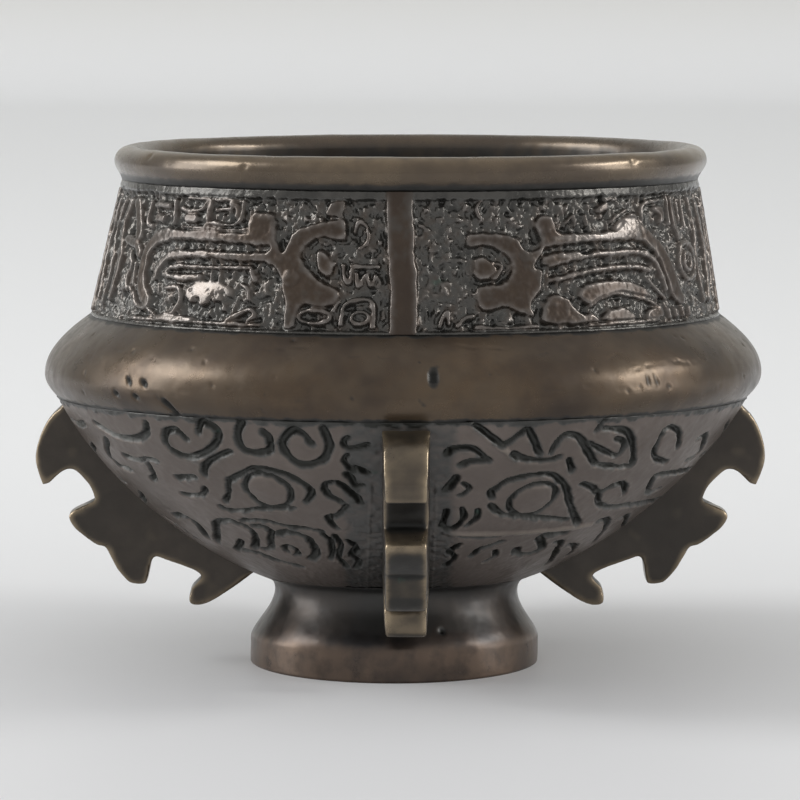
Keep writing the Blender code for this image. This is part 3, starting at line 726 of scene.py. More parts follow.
def points_of(mesh: bpy.types.Mesh) -> np.ndarray:
    """A mesh's points as an array."""
    flat = np.empty(len(mesh.vertices) * 3, np.float32)
    mesh.vertices.foreach_get("co", flat)
    return flat.reshape(-1, 3).astype(float)


def move_points(mesh: bpy.types.Mesh, points: np.ndarray) -> None:
    """Give a mesh's points new places."""
    mesh.vertices.foreach_set("co", np.asarray(points, np.float32).ravel())
    mesh.update()


def set_values(mesh: bpy.types.Mesh, name: str, values: np.ndarray) -> None:
    """Store one number for each point of a mesh."""
    found = mesh.attributes.get(name) or mesh.attributes.new(name, "FLOAT", "POINT")
    found.data.foreach_set("value", np.asarray(values, np.float32))


def close_ends(mesh: bpy.types.Mesh) -> None:
    """Cap the open ends of a part turn, turn every face outwards and keep the caps' rims crisp."""
    work = bmesh.new()
    work.from_mesh(mesh)
    for face in work.faces:
        face.smooth = True
    loose = [edge for edge in work.edges if not edge.link_faces]
    bmesh.ops.delete(work, geom=loose, context="EDGES")
    rim = [edge for edge in work.edges if edge.is_boundary]
    if rim:
        caps = bmesh.ops.holes_fill(work, edges=rim, sides=0)["faces"]
        for face in caps:
            face.smooth = False
            for edge in face.edges:
                edge.smooth = False
    bmesh.ops.recalc_face_normals(work, faces=work.faces)
    if work.calc_volume(signed=True) < 0.0:
        bmesh.ops.reverse_faces(work, faces=work.faces)
    work.to_mesh(mesh)
    work.free()


@dataclass(frozen=True)
class BronzeFinish:
    """Patinated cast bronze: a brown waxed skin, greyer in the matted ground, black in the cuts.

    The mesh says by its own values how hollow each place is, where 0.5 is the matted ground and
    1 the bottom of a cut, and how worn. In places hollow also carries painted shade and worn
    also carries painted highlights.
    """

    name: str
    skin: Colour = (0.050, 0.038, 0.030)
    skin_light: Colour = (0.072, 0.054, 0.041)
    worn: Colour = (0.20, 0.155, 0.105)
    ground: Colour = (0.038, 0.036, 0.033)
    recess: Colour = (0.012, 0.012, 0.011)
    verdigris: Colour = (0.040, 0.075, 0.058)
    roughness: float = 0.36
    roughness_spread: float = 0.16
    ground_roughness: float = 0.45
    metallic: float = 0.75
    wear_share: float = 0.8
    grain_height: float = 0.00012
    grain_strength: float = 0.35
    ground_grain: float = 0.4
    cloud_size: float = 0.016
    mottle_size: float = 0.0030
    grain_size: float = 0.00045
    verdigris_from: float = 0.70
    wax: float = 0.12
    wax_roughness: float = 0.24

    def material(self) -> bpy.types.Material:
        """Build the finish.

        Returns:
            The material.
        """
        material = bpy.data.materials.new(self.name)
        material.use_nodes = True
        nodes = material.node_tree.nodes
        links = material.node_tree.links
        shader = nodes["Principled BSDF"]
        place = nodes.new("ShaderNodeTexCoord").outputs["Object"]

        def noise(size: float, detail: float, roughness: float = 0.55) -> bpy.types.NodeSocket:
            """Noise of a size in metres."""
            node = nodes.new("ShaderNodeTexNoise")
            node.inputs["Scale"].default_value = 1.0 / size
            node.inputs["Detail"].default_value = detail
            node.inputs["Roughness"].default_value = roughness
            links.new(place, node.inputs["Vector"])
            return node.outputs["Fac"]

        def between(value: bpy.types.NodeSocket, low: float, high: float, to_low: float = 0.0,
                    to_high: float = 1.0) -> bpy.types.NodeSocket:
            """A value remapped from one range to another and clamped."""
            node = nodes.new("ShaderNodeMapRange")
            for socket, number in (("From Min", low), ("From Max", high), ("To Min", to_low),
                                   ("To Max", to_high)):
                node.inputs[socket].default_value = number
            links.new(value, node.inputs["Value"])
            return node.outputs["Result"]

        def math_node(operation: str, a: bpy.types.NodeSocket,
                      b: bpy.types.NodeSocket | float) -> bpy.types.NodeSocket:
            """A calculation on two values, clamped to 0 to 1."""
            node = nodes.new("ShaderNodeMath")
            node.operation = operation
            node.use_clamp = True
            links.new(a, node.inputs[0])
            if isinstance(b, float):
                node.inputs[1].default_value = b
            else:
                links.new(b, node.inputs[1])
            return node.outputs["Value"]

        def blend(share: bpy.types.NodeSocket, a: bpy.types.NodeSocket | Colour,
                  b: Colour) -> bpy.types.NodeSocket:
            """Two colours mixed."""
            node = nodes.new("ShaderNodeMix")
            node.data_type = "RGBA"
            if isinstance(a, tuple):
                node.inputs[6].default_value = (*a, 1.0)
            else:
                links.new(a, node.inputs[6])
            node.inputs[7].default_value = (*b, 1.0)
            links.new(share, node.inputs[0])
            return node.outputs[2]

        def stored(name: str) -> bpy.types.NodeSocket:
            """A value stored on the mesh."""
            node = nodes.new("ShaderNodeAttribute")
            node.attribute_name = name
            return node.outputs["Fac"]

        clouds = noise(self.cloud_size, 4.0)
        mottle = noise(self.mottle_size, 5.0, 0.6)
        grain = noise(self.grain_size, 3.0, 0.65)
        hollow = stored("hollow")
        wear = stored("wear")
        colour = blend(between(clouds, 0.35, 0.65), self.skin, self.skin_light)
        colour = blend(math_node("MULTIPLY", between(mottle, 0.38, 0.62), 0.45), colour,
                       self.skin)
        # Worn colour from the stored wear; in places this is a painted highlight.
        worn_and_highlit = math_node("MULTIPLY", math_node("MULTIPLY", wear, self.wear_share),
                           between(mottle, 0.30, 0.55, 0.45, 1.0))
        colour = blend(worn_and_highlit, colour, self.worn)
        in_ground = between(hollow, 0.08, 0.5)
        colour = blend(in_ground, colour, self.ground)
        colour = blend(between(hollow, 0.52, 0.95), colour, self.recess)
        green = math_node("MULTIPLY", between(noise(0.006, 3.0), self.verdigris_from,
                                              self.verdigris_from + 0.08), in_ground)
        colour = blend(green, colour, self.verdigris)
        links.new(colour, shader.inputs["Base Color"])
        rough = between(mottle, 0.3, 0.7, self.roughness - self.roughness_spread / 2,
                        self.roughness + self.roughness_spread / 2)
        duller = nodes.new("ShaderNodeMix")
        links.new(in_ground, duller.inputs[0])
        links.new(rough, duller.inputs[2])
        duller.inputs[3].default_value = self.ground_roughness
        rubbed_smooth = math_node("MULTIPLY", worn_and_highlit, 0.14)
        links.new(math_node("SUBTRACT", duller.outputs[0], rubbed_smooth),
                  shader.inputs["Roughness"])
        shader.inputs["Coat Weight"].default_value = self.wax
        shader.inputs["Coat Roughness"].default_value = self.wax_roughness
        shader.inputs["Metallic"].default_value = self.metallic
        bump = nodes.new("ShaderNodeBump")
        bump.inputs["Strength"].default_value = self.grain_strength
        bump.inputs["Distance"].default_value = self.grain_height
        coarse = between(in_ground, 0.0, 1.0, 0.35, 0.35 + 0.65 * self.ground_grain)
        height = math_node("ADD", math_node("MULTIPLY", grain, coarse),
                           math_node("MULTIPLY", mottle, 0.25))
        links.new(height, bump.inputs["Height"])
        links.new(bump.outputs["Normal"], shader.inputs["Normal"])
        return material


@dataclass
class Foundry:
    """What every part of the casting is made with."""

    lathe: Lathe
    grain: Grain
    fine_grain: Grain
    stance: Stance
    finished: dict[str, bpy.types.Material] = field(default_factory=dict)

    def material(self, finish: BronzeFinish) -> bpy.types.Material:
        """A finish's material, built once."""
        if finish.name not in self.finished:
            self.finished[finish.name] = finish.material()
        return self.finished[finish.name]

    def turned_piece(self, name: str, outline: Outline, downs: np.ndarray, hidden: np.ndarray,
                     columns: int, start: float, sweep: float, finish: BronzeFinish,
                     relief: Relief) -> bpy.types.Object:
        """Turn, carve and place one piece.

        Args:
            name: Name of the piece.
            outline: Section of its visible surface.
            downs: Distances down the visible surface at which it has points.
            hidden: Radius and height of the points that close the section inside the wall.
            columns: Copies of the section round the turn.
            start: Angle of the first copy.
            sweep: Angle from the first copy to the last.
            finish: Finish of the piece.
            relief: Gives rise, hollow and wear at angles and distances down the surface.

        Returns:
            The finished object.
        """
        section = np.vstack([outline.at(downs), hidden, outline.at(downs[:1])])
        marks = np.concatenate([downs, np.full(len(hidden), -1.0), downs[:1]])
        mesh = self.lathe.turn(name, section, marks, columns, start, sweep,
                               self.material(finish))
        close_ends(mesh)
        points = points_of(mesh)
        down = np.empty(len(mesh.vertices), np.float32)
        mesh.attributes["down"].data.foreach_get("value", down)
        mesh.attributes.remove(mesh.attributes["down"])
        shown = down > -0.5
        degrees = np.degrees(np.arctan2(points[:, 0], -points[:, 1]))
        down = np.clip(down.astype(float), 0.0, outline.length)
        rise, hollow, wear = relief(degrees, down)
        normal = outline.normal(down)
        angle = np.radians(degrees)
        outward = np.stack([normal[:, 0] * np.sin(angle), -normal[:, 0] * np.cos(angle),
                            normal[:, 1]], 1)
        points += np.where(shown, rise, 0.0)[:, None] * outward
        set_values(mesh, "hollow", np.where(shown, hollow, 0.3))
        set_values(mesh, "wear", np.where(shown, wear, 0.0))
        return self.deliver(name, mesh, points)

    def deliver(self, name: str, mesh: bpy.types.Mesh, points: np.ndarray) -> bpy.types.Object:
        """Args:
            name: Name of the piece.
            mesh: Its mesh.
            points: The mesh's points in the casting's frame, in millimetres.

        Returns:
            The object.
        """
        move_points(mesh, self.stance.placed(points, self.grain))
        piece = bpy.data.objects.new(name, mesh)
        bpy.context.scene.collection.objects.link(piece)
        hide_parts(CAD_NODE)
        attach(piece, BODY)
        mesh.calc_loop_triangles()
        log.info("%s: %d triangles", name, len(mesh.loop_triangles))
        return piece


def inset(outline: Outline, depth: float, count: int) -> np.ndarray:
    """Points inside the wall that lead from a surface's lower end back to its top.

    Args:
        outline: The surface's section.
        depth: Distance under the surface.
        count: Number of points.

    Returns:
        An array of radius and height.
    """
    downs = np.linspace(outline.length, 0.0, count)
    return outline.at(downs) - depth * outline.normal(downs)


@dataclass
class Bowl:
    """The bowl under the shoulder belt, chiselled with a mask."""

    root: Place = (20.4, 13.1)
    top: Place = (52.9, 40.9)
    shell: float = 1.6
    step: float = 0.22
    back_step: float = 0.42
    chisel_depth: float = 0.85
    pupil_radius: float = 3.2
    finish: BronzeFinish = BronzeFinish(
        "bowl_bronze", skin=(0.118, 0.098, 0.086), skin_light=(0.158, 0.132, 0.118),
        worn=(0.30, 0.26, 0.22), ground=(0.074, 0.073, 0.070), recess=(0.026, 0.027, 0.024),
        roughness=0.44, wear_share=0.55, metallic=0.65)

    def outline(self) -> Outline:
        """Section of the bowl, from the belt down to the foot."""
        wide = self.top[0] - self.root[0]
        high = self.top[1] - self.root[1]
        return Outline(cubic(self.root, (self.root[0] + 0.43 * wide, self.root[1] + 0.19 * high),
                             (self.top[0] - 0.17 * wide, self.top[1] - 0.37 * high),
                             self.top, 90)[::-1])

    def left_strokes(self) -> list[Stroke]:
        """Left half of the mask: horns, brow, lids, cheek and jaw."""
        return [
            cut((-12.9, 1.0), (-12.2, 4.6), (-14.2, 7.5), (-18.5, 7.8), (-20.3, 4.2),
                (-17.3, 1.6), (-15.0, 4.2), width=1.5),
            cut((-26.5, 0.4), (-27.9, 2.2), (-28.2, 5.0), (-26.0, 6.1), (-23.0, 5.5),
                (-22.5, 3.2), (-23.4, 2.0), width=1.4),
            cut((-39.0, 4.2), (-40.6, 2.5), (-43.5, 3.4), (-44.1, 6.0), (-41.0, 7.7),
                (-37.0, 7.0), (-33.0, 4.6), (-31.8, 2.2), (-34.4, 1.0), (-36.1, 3.0),
                width=1.4),
            cut((-30.5, 6.0), (-36.0, 8.3), (-38.5, 10.3), (-39.1, 11.6), width=1.2),
            cut((-47.2, 12.5), (-42.0, 12.0), width=1.5),
            cut((-49.2, 16.2), (-43.6, 16.1), (-41.0, 14.2), width=1.2),
            cut((-34.0, 12.2), (-31.2, 11.2), (-27.4, 9.5), (-22.2, 9.8), (-18.2, 12.0),
                (-17.0, 14.0), (-19.0, 16.4), width=1.3),
            cut((-34.0, 12.2), (-35.6, 15.0), (-38.2, 17.4), width=1.0),
            cut((-40.2, 18.6), (-37.0, 19.3), (-30.0, 18.4), (-22.0, 17.8), width=1.2),
            cut((-8.9, 2.7), (-9.7, 3.7), (-9.0, 4.8), (-7.2, 4.5), (-5.6, 4.1), width=1.0),
            cut((-9.2, 6.0), (-10.0, 7.2), (-9.3, 8.3), (-8.5, 9.4), width=0.9),
            cut((-8.0, 8.4), (-6.9, 9.0), (-5.8, 9.8), width=0.9),
            cut((-9.8, 9.9), (-9.0, 10.9), (-8.3, 12.3), (-6.9, 12.3), width=1.1),
            cut((-11.8, 11.7), (-10.5, 12.6), (-9.5, 13.6), (-8.6, 14.7), (-7.6, 16.4),
                width=1.1),
            cut((-12.6, 11.6), (-14.2, 12.3), (-14.0, 14.2), (-12.9, 15.1), (-11.4, 16.3),
                width=1.1),
            cut((-10.6, 17.1), (-11.8, 18.2), (-13.0, 19.2), (-15.0, 19.8), (-14.8, 21.3),
                (-13.8, 22.7), width=1.2),
            cut((-64.0, 3.0), (-58.0, 5.0), (-52.0, 5.0), (-48.2, 3.6), (-47.0, 1.8)),
            cut((-63.0, 6.0), (-67.0, 8.9), (-66.0, 11.5), (-62.0, 12.0)),
            cut((-60.0, 8.9), (-56.0, 9.5), (-53.0, 9.0), (-50.0, 9.2), width=1.1),
            cut((-53.0, 10.0), (-54.0, 12.5), (-56.2, 13.6), width=1.1),
            cut((-62.0, 22.5), (-57.0, 22.0), (-54.5, 24.5), (-57.0, 27.5)),
            cut((-55.0, 29.0), (-50.0, 26.0), (-46.0, 23.0), (-41.0, 22.0), (-37.0, 23.4),
                (-36.5, 25.2), (-39.0, 28.0), (-41.2, 29.5), width=1.2),
            cut((-37.2, 21.8), (-33.0, 21.3), (-29.5, 21.4), (-26.0, 22.5), (-22.0, 22.8),
                (-17.6, 23.6), width=0.9),
            cut((-35.0, 23.0), (-32.5, 22.9), (-31.0, 24.1), (-33.0, 26.6), (-35.2, 29.0),
                (-38.0, 29.6), width=1.1),
            cut((-29.6, 24.9), (-27.0, 24.2), (-24.0, 24.5), (-22.2, 25.7), (-21.8, 28.6),
                (-22.8, 30.6), (-25.4, 32.4), width=1.5),
            cut((-31.0, 30.3), (-30.5, 28.6), (-28.8, 28.1), (-27.4, 29.0), (-27.9, 30.6),
                (-29.4, 31.2), width=0.9),
            cut((-18.0, 24.4), (-16.4, 26.0), (-17.2, 29.0), (-19.0, 32.0), width=1.0),
            cut((-43.0, 27.5), (-46.0, 29.0), (-50.0, 31.0), width=1.1),
            cut((-48.0, 30.2), (-42.0, 31.0), (-39.6, 32.0), (-36.8, 33.4), (-31.0, 35.0),
                width=1.3),
            cut((-15.0, 24.6), (-14.4, 27.6), (-16.4, 31.0), (-15.4, 34.6), width=1.1),
            cut((-12.2, 26.0), (-10.6, 28.2), (-12.6, 30.4), (-11.0, 32.6), (-13.0, 35.0),
                width=1.1),
            cut((-74.0, 8.0), (-80.0, 10.0), (-80.0, 14.5), (-74.0, 15.5)),
            cut((-80.0, 20.5), (-73.0, 19.5), (-68.0, 17.5)),
            cut((-72.0, 23.5), (-67.0, 26.5), (-66.5, 30.0)),
            cut((-82.0, 3.0), (-76.0, 4.2), (-70.0, 3.6))]

    def right_strokes(self) -> list[Stroke]:
        """Right half of the mask, its strokes longer and more slanting."""
        return [
            cut((11.5, 0.5), (14.2, 2.4), (16.6, 4.2), width=1.2),
            cut((17.0, 4.4), (20.4, 1.5), width=1.1),
            cut((20.8, 1.5), (24.4, 6.5), width=1.1),
            cut((19.0, 6.0), (22.0, 7.3), (26.0, 7.6), (28.4, 7.0), width=1.2),
            cut((26.5, 6.4), (26.8, 4.0), (28.1, 2.7), (31.0, 3.6), (33.5, 6.0), (37.0, 9.0),
                width=1.3),
            cut((30.5, 7.6), (32.6, 10.3), width=1.0),
            cut((33.5, 2.5), (34.3, 0.5), width=1.0),
            cut((35.0, 2.0), (39.0, 2.4), (42.0, 4.1), (45.5, 8.0), (46.4, 9.9), (43.0, 9.9),
                (37.0, 9.0), width=1.2),
            cut((38.5, 4.1), (41.0, 5.0), (41.1, 7.2), (39.0, 7.0), (33.2, 4.6), width=1.1),
            cut((49.5, 3.4), (51.0, 2.8), (54.5, 4.0), (57.6, 7.0), width=1.1),
            cut((49.5, 3.9), (50.3, 7.0), (53.0, 9.0), (57.6, 10.0), width=1.1),
            cut((63.5, 6.0), (65.6, 5.3), (68.0, 7.0), (70.5, 9.0), (68.2, 10.2), (66.4, 10.6),
                width=1.2),
            cut((18.2, 15.4), (17.6, 13.8), (20.0, 11.5), (23.2, 10.7), (28.0, 10.6),
                (33.0, 13.5), (37.0, 17.5), (41.0, 20.5), (45.0, 23.0), width=1.3),
            cut((18.4, 17.0), (22.0, 19.4), (28.0, 20.1), (35.0, 21.0), (40.0, 21.6),
                width=1.2),
            cut((36.5, 13.0), (40.0, 14.1), (43.0, 15.4), (46.0, 13.8), (49.0, 14.1),
                (51.6, 16.4), width=1.1),
            cut((43.5, 16.1), (46.0, 18.3), (52.0, 19.5), (60.0, 19.5), (80.0, 20.0),
                width=1.2),
            cut((57.0, 12.8), (59.0, 15.6), (62.0, 17.0), (66.0, 16.3), width=1.1),
            cut((57.0, 12.8), (65.0, 12.8), (80.0, 13.5), width=1.1),
            cut((7.6, 5.9), (8.4, 5.0), (11.2, 4.7), (13.8, 6.1), (15.4, 7.4), width=1.2),
            cut((10.4, 8.2), (12.0, 7.4), (14.7, 7.2), width=1.4),
            cut((10.0, 10.6), (9.6, 12.0), (8.5, 13.4), width=1.2),
            cut((11.6, 12.0), (13.0, 13.2), (11.4, 14.6), width=0.9),
            cut((9.6, 18.0), (9.5, 22.0), (12.0, 22.5), (13.6, 20.0), (12.5, 17.6), width=1.0),
            cut((16.0, 18.0), (16.6, 20.0), (15.0, 22.2), width=1.0),
            cut((20.0, 31.0), (21.0, 28.6), (24.0, 27.5), (26.2, 26.5), width=1.1),
            cut((44.0, 25.4), (36.5, 25.8), (38.6, 27.6), (41.4, 29.8), (38.6, 31.3),
                (34.5, 31.0), (32.5, 29.4), width=1.4),
            cut((44.0, 28.0), (46.9, 28.5), (48.0, 30.2), (51.5, 32.4), (57.0, 36.0),
                width=1.3),
            cut((14.0, 24.6), (18.0, 25.2), (24.0, 25.0), width=0.8, depth=0.7),
            cut((15.0, 27.0), (13.4, 29.4), (15.6, 31.2), (14.0, 34.0), width=1.0),
            cut((26.0, 29.4), (27.4, 31.2), (25.8, 33.0), width=1.0),
            cut((51.5, 29.5), (57.0, 30.5), (62.5, 34.0), width=1.1),
            cut((52.0, 23.0), (56.0, 23.1), (61.0, 26.5), (66.0, 30.0), width=1.1),
            cut((60.0, 24.0), (64.0, 22.6), (70.0, 25.0), (80.0, 27.5), width=1.1),
            cut((76.0, 4.0), (81.0, 6.5), (80.0, 9.5), (75.0, 10.0))]

    def sheet(self, foundry: Foundry) -> Sheet:
        """The mask as a height map.

        Args:
            foundry: What the casting is made with.

        Returns:
            The carved and weathered sheet.
        """
        sheet = Sheet(self.outline(), 0.14, foundry.grain)
        eyes = ((-26.0, 14.0), (27.0, 16.0))
        sheet.carve(self.left_strokes())
        sheet.carve(self.right_strokes())
        sheet.carve([Stroke(oval(eye, self.pupil_radius + 0.5, self.pupil_radius + 0.4,
                                 sheet.degree_at(eye[1]), 16), 1.1, Work.CHISELLED, 0.9, True)
                     for eye in eyes])
        sheet.carve([wire((10.5, 0.0), (15.0, 3.4), (20.0, 7.0), width=0.8),
                     wire((11.0, 23.8), (25.0, 24.2), (38.0, 24.0), (50.0, 23.6), width=0.9)])
        aside = np.sin(np.radians(sheet.degrees))[None, :] * sheet.outline.at(sheet.downs)[:, :1]
        rough = foundry.fine_grain.rough(sheet.places, 0.8, 3)
        dents = foundry.grain.rough(sheet.places + 90.0, 5.0, 3)
        margin = eased((9.0 + 1.2 * dents - np.abs(aside)) / 2.2)
        seams = sum(np.exp(-((aside - at) / 0.17) ** 2) for at in (-4.4, 5.3))
        seams *= eased((sheet.downs[:, None] - 9.0) / 6.0) * (0.7 + 0.6 * rough)
        near = np.minimum(2.0 * blurred(np.minimum(sheet.cuts, 1.0), 0.6 / sheet.step), 1.0)
        solid = 1.0 - np.minimum(sheet.cuts, 1.0)
        seam = eased((1.0 + 0.9 * rough - sheet.downs[:, None]) / 0.7)
        sheet.rise = (-self.chisel_depth * sheet.cuts + 0.03 * sheet.burr * solid
                      + 0.34 * sheet.wires * solid + 0.12 * dents + 0.14 * seams
                      + (0.05 + 0.16 * near + 0.10 * margin + 0.25 * seam) * rough
                      - 0.15 * margin)
        sheet.hollow = np.clip(sheet.cuts * 1.5 + 0.30 * near * (1.0 + 1.6 * rough)
                               + 0.42 * margin * (1.0 + 0.5 * rough) + 0.7 * seam, 0.0, 1.0)
        sheet.raise_bosses([Boss(eye, self.pupil_radius - 0.1, self.pupil_radius - 0.1, 0.32)
                            for eye in eyes])
        sheet.weather(0.5, 0.30)
        sheet.wear = np.maximum(0.3 * sheet.wear, 0.9 * np.maximum(sheet.wires * solid, seams))
        return sheet

    def build(self, foundry: Foundry) -> None:
        """Make the two front quarters and the plainer back half.

        Args:
            foundry: What the casting is made with.
        """
        outline = self.outline()
        sheet = self.sheet(foundry)
        hidden = inset(outline, self.shell, 12)

        def relief(degrees: np.ndarray, down: np.ndarray) -> tuple[np.ndarray, ...]:
            """Read the sheet at places on the bowl."""
            return tuple(sheet.read(name, degrees, down) for name in ("rise", "hollow", "wear"))

        widest = self.top[0]
        for name, start, sweep, step in (("bowl_front_left", -90.0, 90.0, self.step),
                                         ("bowl_front_right", 0.0, 90.0, self.step),
                                         ("bowl_back", 90.0, 180.0, self.back_step)):
            columns = round(math.radians(sweep) * 0.8 * widest / step)
            foundry.turned_piece(name, outline, outline.spaced(step), hidden, columns, start,
                                 sweep, self.finish, relief)


@dataclass
class Neck:
    """The neck, a sunken band of beasts and squared scrolls under a plain border."""

    root: Place = (48.3, 53.4)
    top: Place = (44.1, 74.2)
    shell: float = 1.5
    sunk: float = 0.75
    top_border: float = 1.3
    low_border: float = 0.5
    step: float = 0.18
    back_step: float = 0.33
    # The neck's pale grey worn colour is partly worn metal and partly painted highlight on the edges.
    finish: BronzeFinish = BronzeFinish(
        "neck_bronze", skin=(0.036, 0.024, 0.017), skin_light=(0.056, 0.038, 0.025),
        worn=(0.27, 0.25, 0.235), ground=(0.076, 0.073, 0.067), recess=(0.026, 0.026, 0.024),
        roughness=0.33, ground_roughness=0.25, wear_share=0.7, ground_grain=1.0,
        grain_strength=0.6, wax=0.3)

    def outline(self) -> Outline:
        """Section of the neck, from the lip down to the belt."""
        return Outline(np.linspace(self.top, self.root, 40))

    def left_strokes(self) -> list[Stroke]:
        """Relief left of the front rib: a beast's layered crest, eye, ear and paws."""
        return [
            standing_field((-31.2, 3.6), (-28.6, 3.4), (-26.3, 4.0), (-25.5, 7.2), (-23.8, 9.0),
                           (-22.2, 6.4), (-19.0, 5.1), (-14.5, 4.3), (-12.3, 4.3),
                           (-12.2, 7.2), (-16.4, 6.8), (-19.2, 8.0), (-20.1, 9.7),
                           (-18.2, 12.0), (-15.6, 13.6), (-12.6, 14.7), (-12.7, 16.6),
                           (-15.0, 17.2), (-18.6, 17.0), (-19.9, 18.6), (-20.2, 20.2),
                           (-22.0, 20.2), (-22.4, 16.2), (-24.0, 12.6), (-26.2, 10.9),
                           (-29.8, 10.7), (-30.4, 9.6), (-27.0, 9.2), (-26.8, 8.2),
                           (-31.0, 7.9)),
            band(2.3, (-54.8, 17.6), (-57.4, 15.6), (-58.5, 12.5), (-58.0, 9.8), (-55.6, 8.0),
                 (-52.0, 7.3)),
            band(1.7, (-55.0, 7.9), (-52.0, 7.2), (-46.0, 7.1), (-36.0, 7.2), (-28.0, 7.3)),
            band(1.3, (-53.8, 13.8), (-53.3, 12.3), (-51.6, 10.9), (-48.0, 10.1),
                 (-40.0, 9.9), (-30.0, 10.1), (-22.0, 10.4)),
            wire((-50.8, 12.8), (-48.0, 11.9), (-40.0, 11.8), (-30.0, 11.6), width=0.6),
            wire((-51.2, 13.2), (-46.5, 13.6), (-41.5, 13.2), width=1.0),
            wire((-50.0, 15.2), (-46.4, 15.1), (-45.4, 16.9), (-46.8, 18.8), (-49.2, 19.4),
                 width=0.8),
            band(0.9, (-29.9, 12.2), (-28.8, 13.4)),
            wire((-31.6, 14.2), (-30.2, 14.8), (-29.6, 16.2), width=0.7),
            wire((-33.6, 19.6), (-31.4, 18.5), (-29.2, 17.8), (-28.1, 18.5), (-29.4, 19.5)),
            standing_field((-16.0, 3.4), (-15.0, 1.8), (-12.6, 1.2), (-12.7, 3.7),
                           (-14.2, 3.8)),
            standing_field((-17.0, 9.2), (-15.8, 9.0), (-13.8, 11.0), (-14.6, 12.6),
                           (-16.6, 11.4)),
            wire(*oval((-16.5, 18.6), 2.4, 1.0, 0.82), closed=True, width=0.6),
            wire((-11.9, 11.0), (-11.6, 12.6), (-10.6, 13.4), (-10.2, 11.6), width=0.6),
            wire((-9.4, 12.2), (-8.8, 14.0), (-7.6, 12.4), (-6.6, 13.9), (-5.8, 12.4),
                 width=0.6),
            wire((-10.4, 11.1), (-5.4, 11.2), width=0.5),
            wire((-11.6, 19.6), (-11.2, 17.0), (-9.0, 16.1), (-6.4, 16.2), (-5.8, 18.0),
                 (-6.0, 20.0), width=0.7),
            wire(*oval((-8.2, 18.7), 1.3, 0.9, 0.82), closed=True, width=0.5),
            wire((-13.2, 17.6), (-12.2, 16.4), width=0.5),
            wire((-10.2, 6.0), (-9.6, 4.6), (-8.0, 5.2), (-7.6, 7.4), (-9.0, 8.4), width=0.5),
            band(1.0, (-58.0, 2.9), (-53.6, 3.0)),
            band(1.5, (-56.8, 4.9), (-54.8, 5.0)),
            wire((-60.4, 2.6), (-60.3, 5.6), (-58.6, 6.2), width=0.7),
            wire((-51.6, 2.2), (-51.0, 5.6), width=0.8),
            wire((-48.0, 1.6), (-42.0, 1.6), (-37.0, 1.6), (-34.2, 1.8), width=0.5),
            wire((-49.6, 3.2), (-46.4, 3.6), (-43.6, 3.0), (-42.4, 1.8), width=0.8),
            band(1.5, (-47.2, 4.7), (-45.2, 4.6)),
            wire((-48.6, 5.9), (-45.0, 6.0), (-42.8, 6.0), (-36.0, 6.1), (-31.4, 5.9),
                 width=0.5),
            band(1.1, (-41.6, 2.0), (-41.5, 4.6)),
            wire((-39.8, 3.2), (-36.2, 2.9), width=0.6),
            band(1.2, (-36.4, 2.2), (-34.8, 2.6), (-34.6, 3.9)),
            wire((-33.6, 1.8), (-33.6, 4.0), (-34.9, 5.2), (-38.0, 5.4), (-41.0, 5.2),
                 (-42.6, 6.2), width=0.6),
            wire((-31.6, 3.2), (-31.5, 5.8), width=0.6),
            wire((-60.0, 20.2), (-44.0, 20.0), (-27.0, 20.1), width=0.6),
            wire((-60.6, 16.4), (-58.4, 18.2), (-54.0, 18.6), (-50.6, 20.0), width=0.6),
            band(2.2, (-66.4, 3.0), (-64.0, 5.4), (-62.6, 7.6)),
            band(1.6, (-67.6, 8.6), (-63.0, 9.2), (-61.2, 10.4)),
            wire((-64.8, 10.4), (-63.6, 12.2), (-64.6, 14.0), (-63.4, 16.0), width=0.8),
            wire((-61.8, 12.0), (-61.4, 15.0), width=0.6),
            wire((-67.0, 16.2), (-63.0, 15.6), (-60.8, 16.8), width=0.7),
            band(1.4, (-70.0, 3.0), (-71.6, 7.0), (-69.8, 11.6), (-71.0, 17.6)),
            wire((-75.0, 3.0), (-76.8, 8.0), (-74.4, 13.0), (-76.0, 18.6)),
            wire((-80.6, 3.0), (-81.6, 10.0), (-80.0, 18.0))]

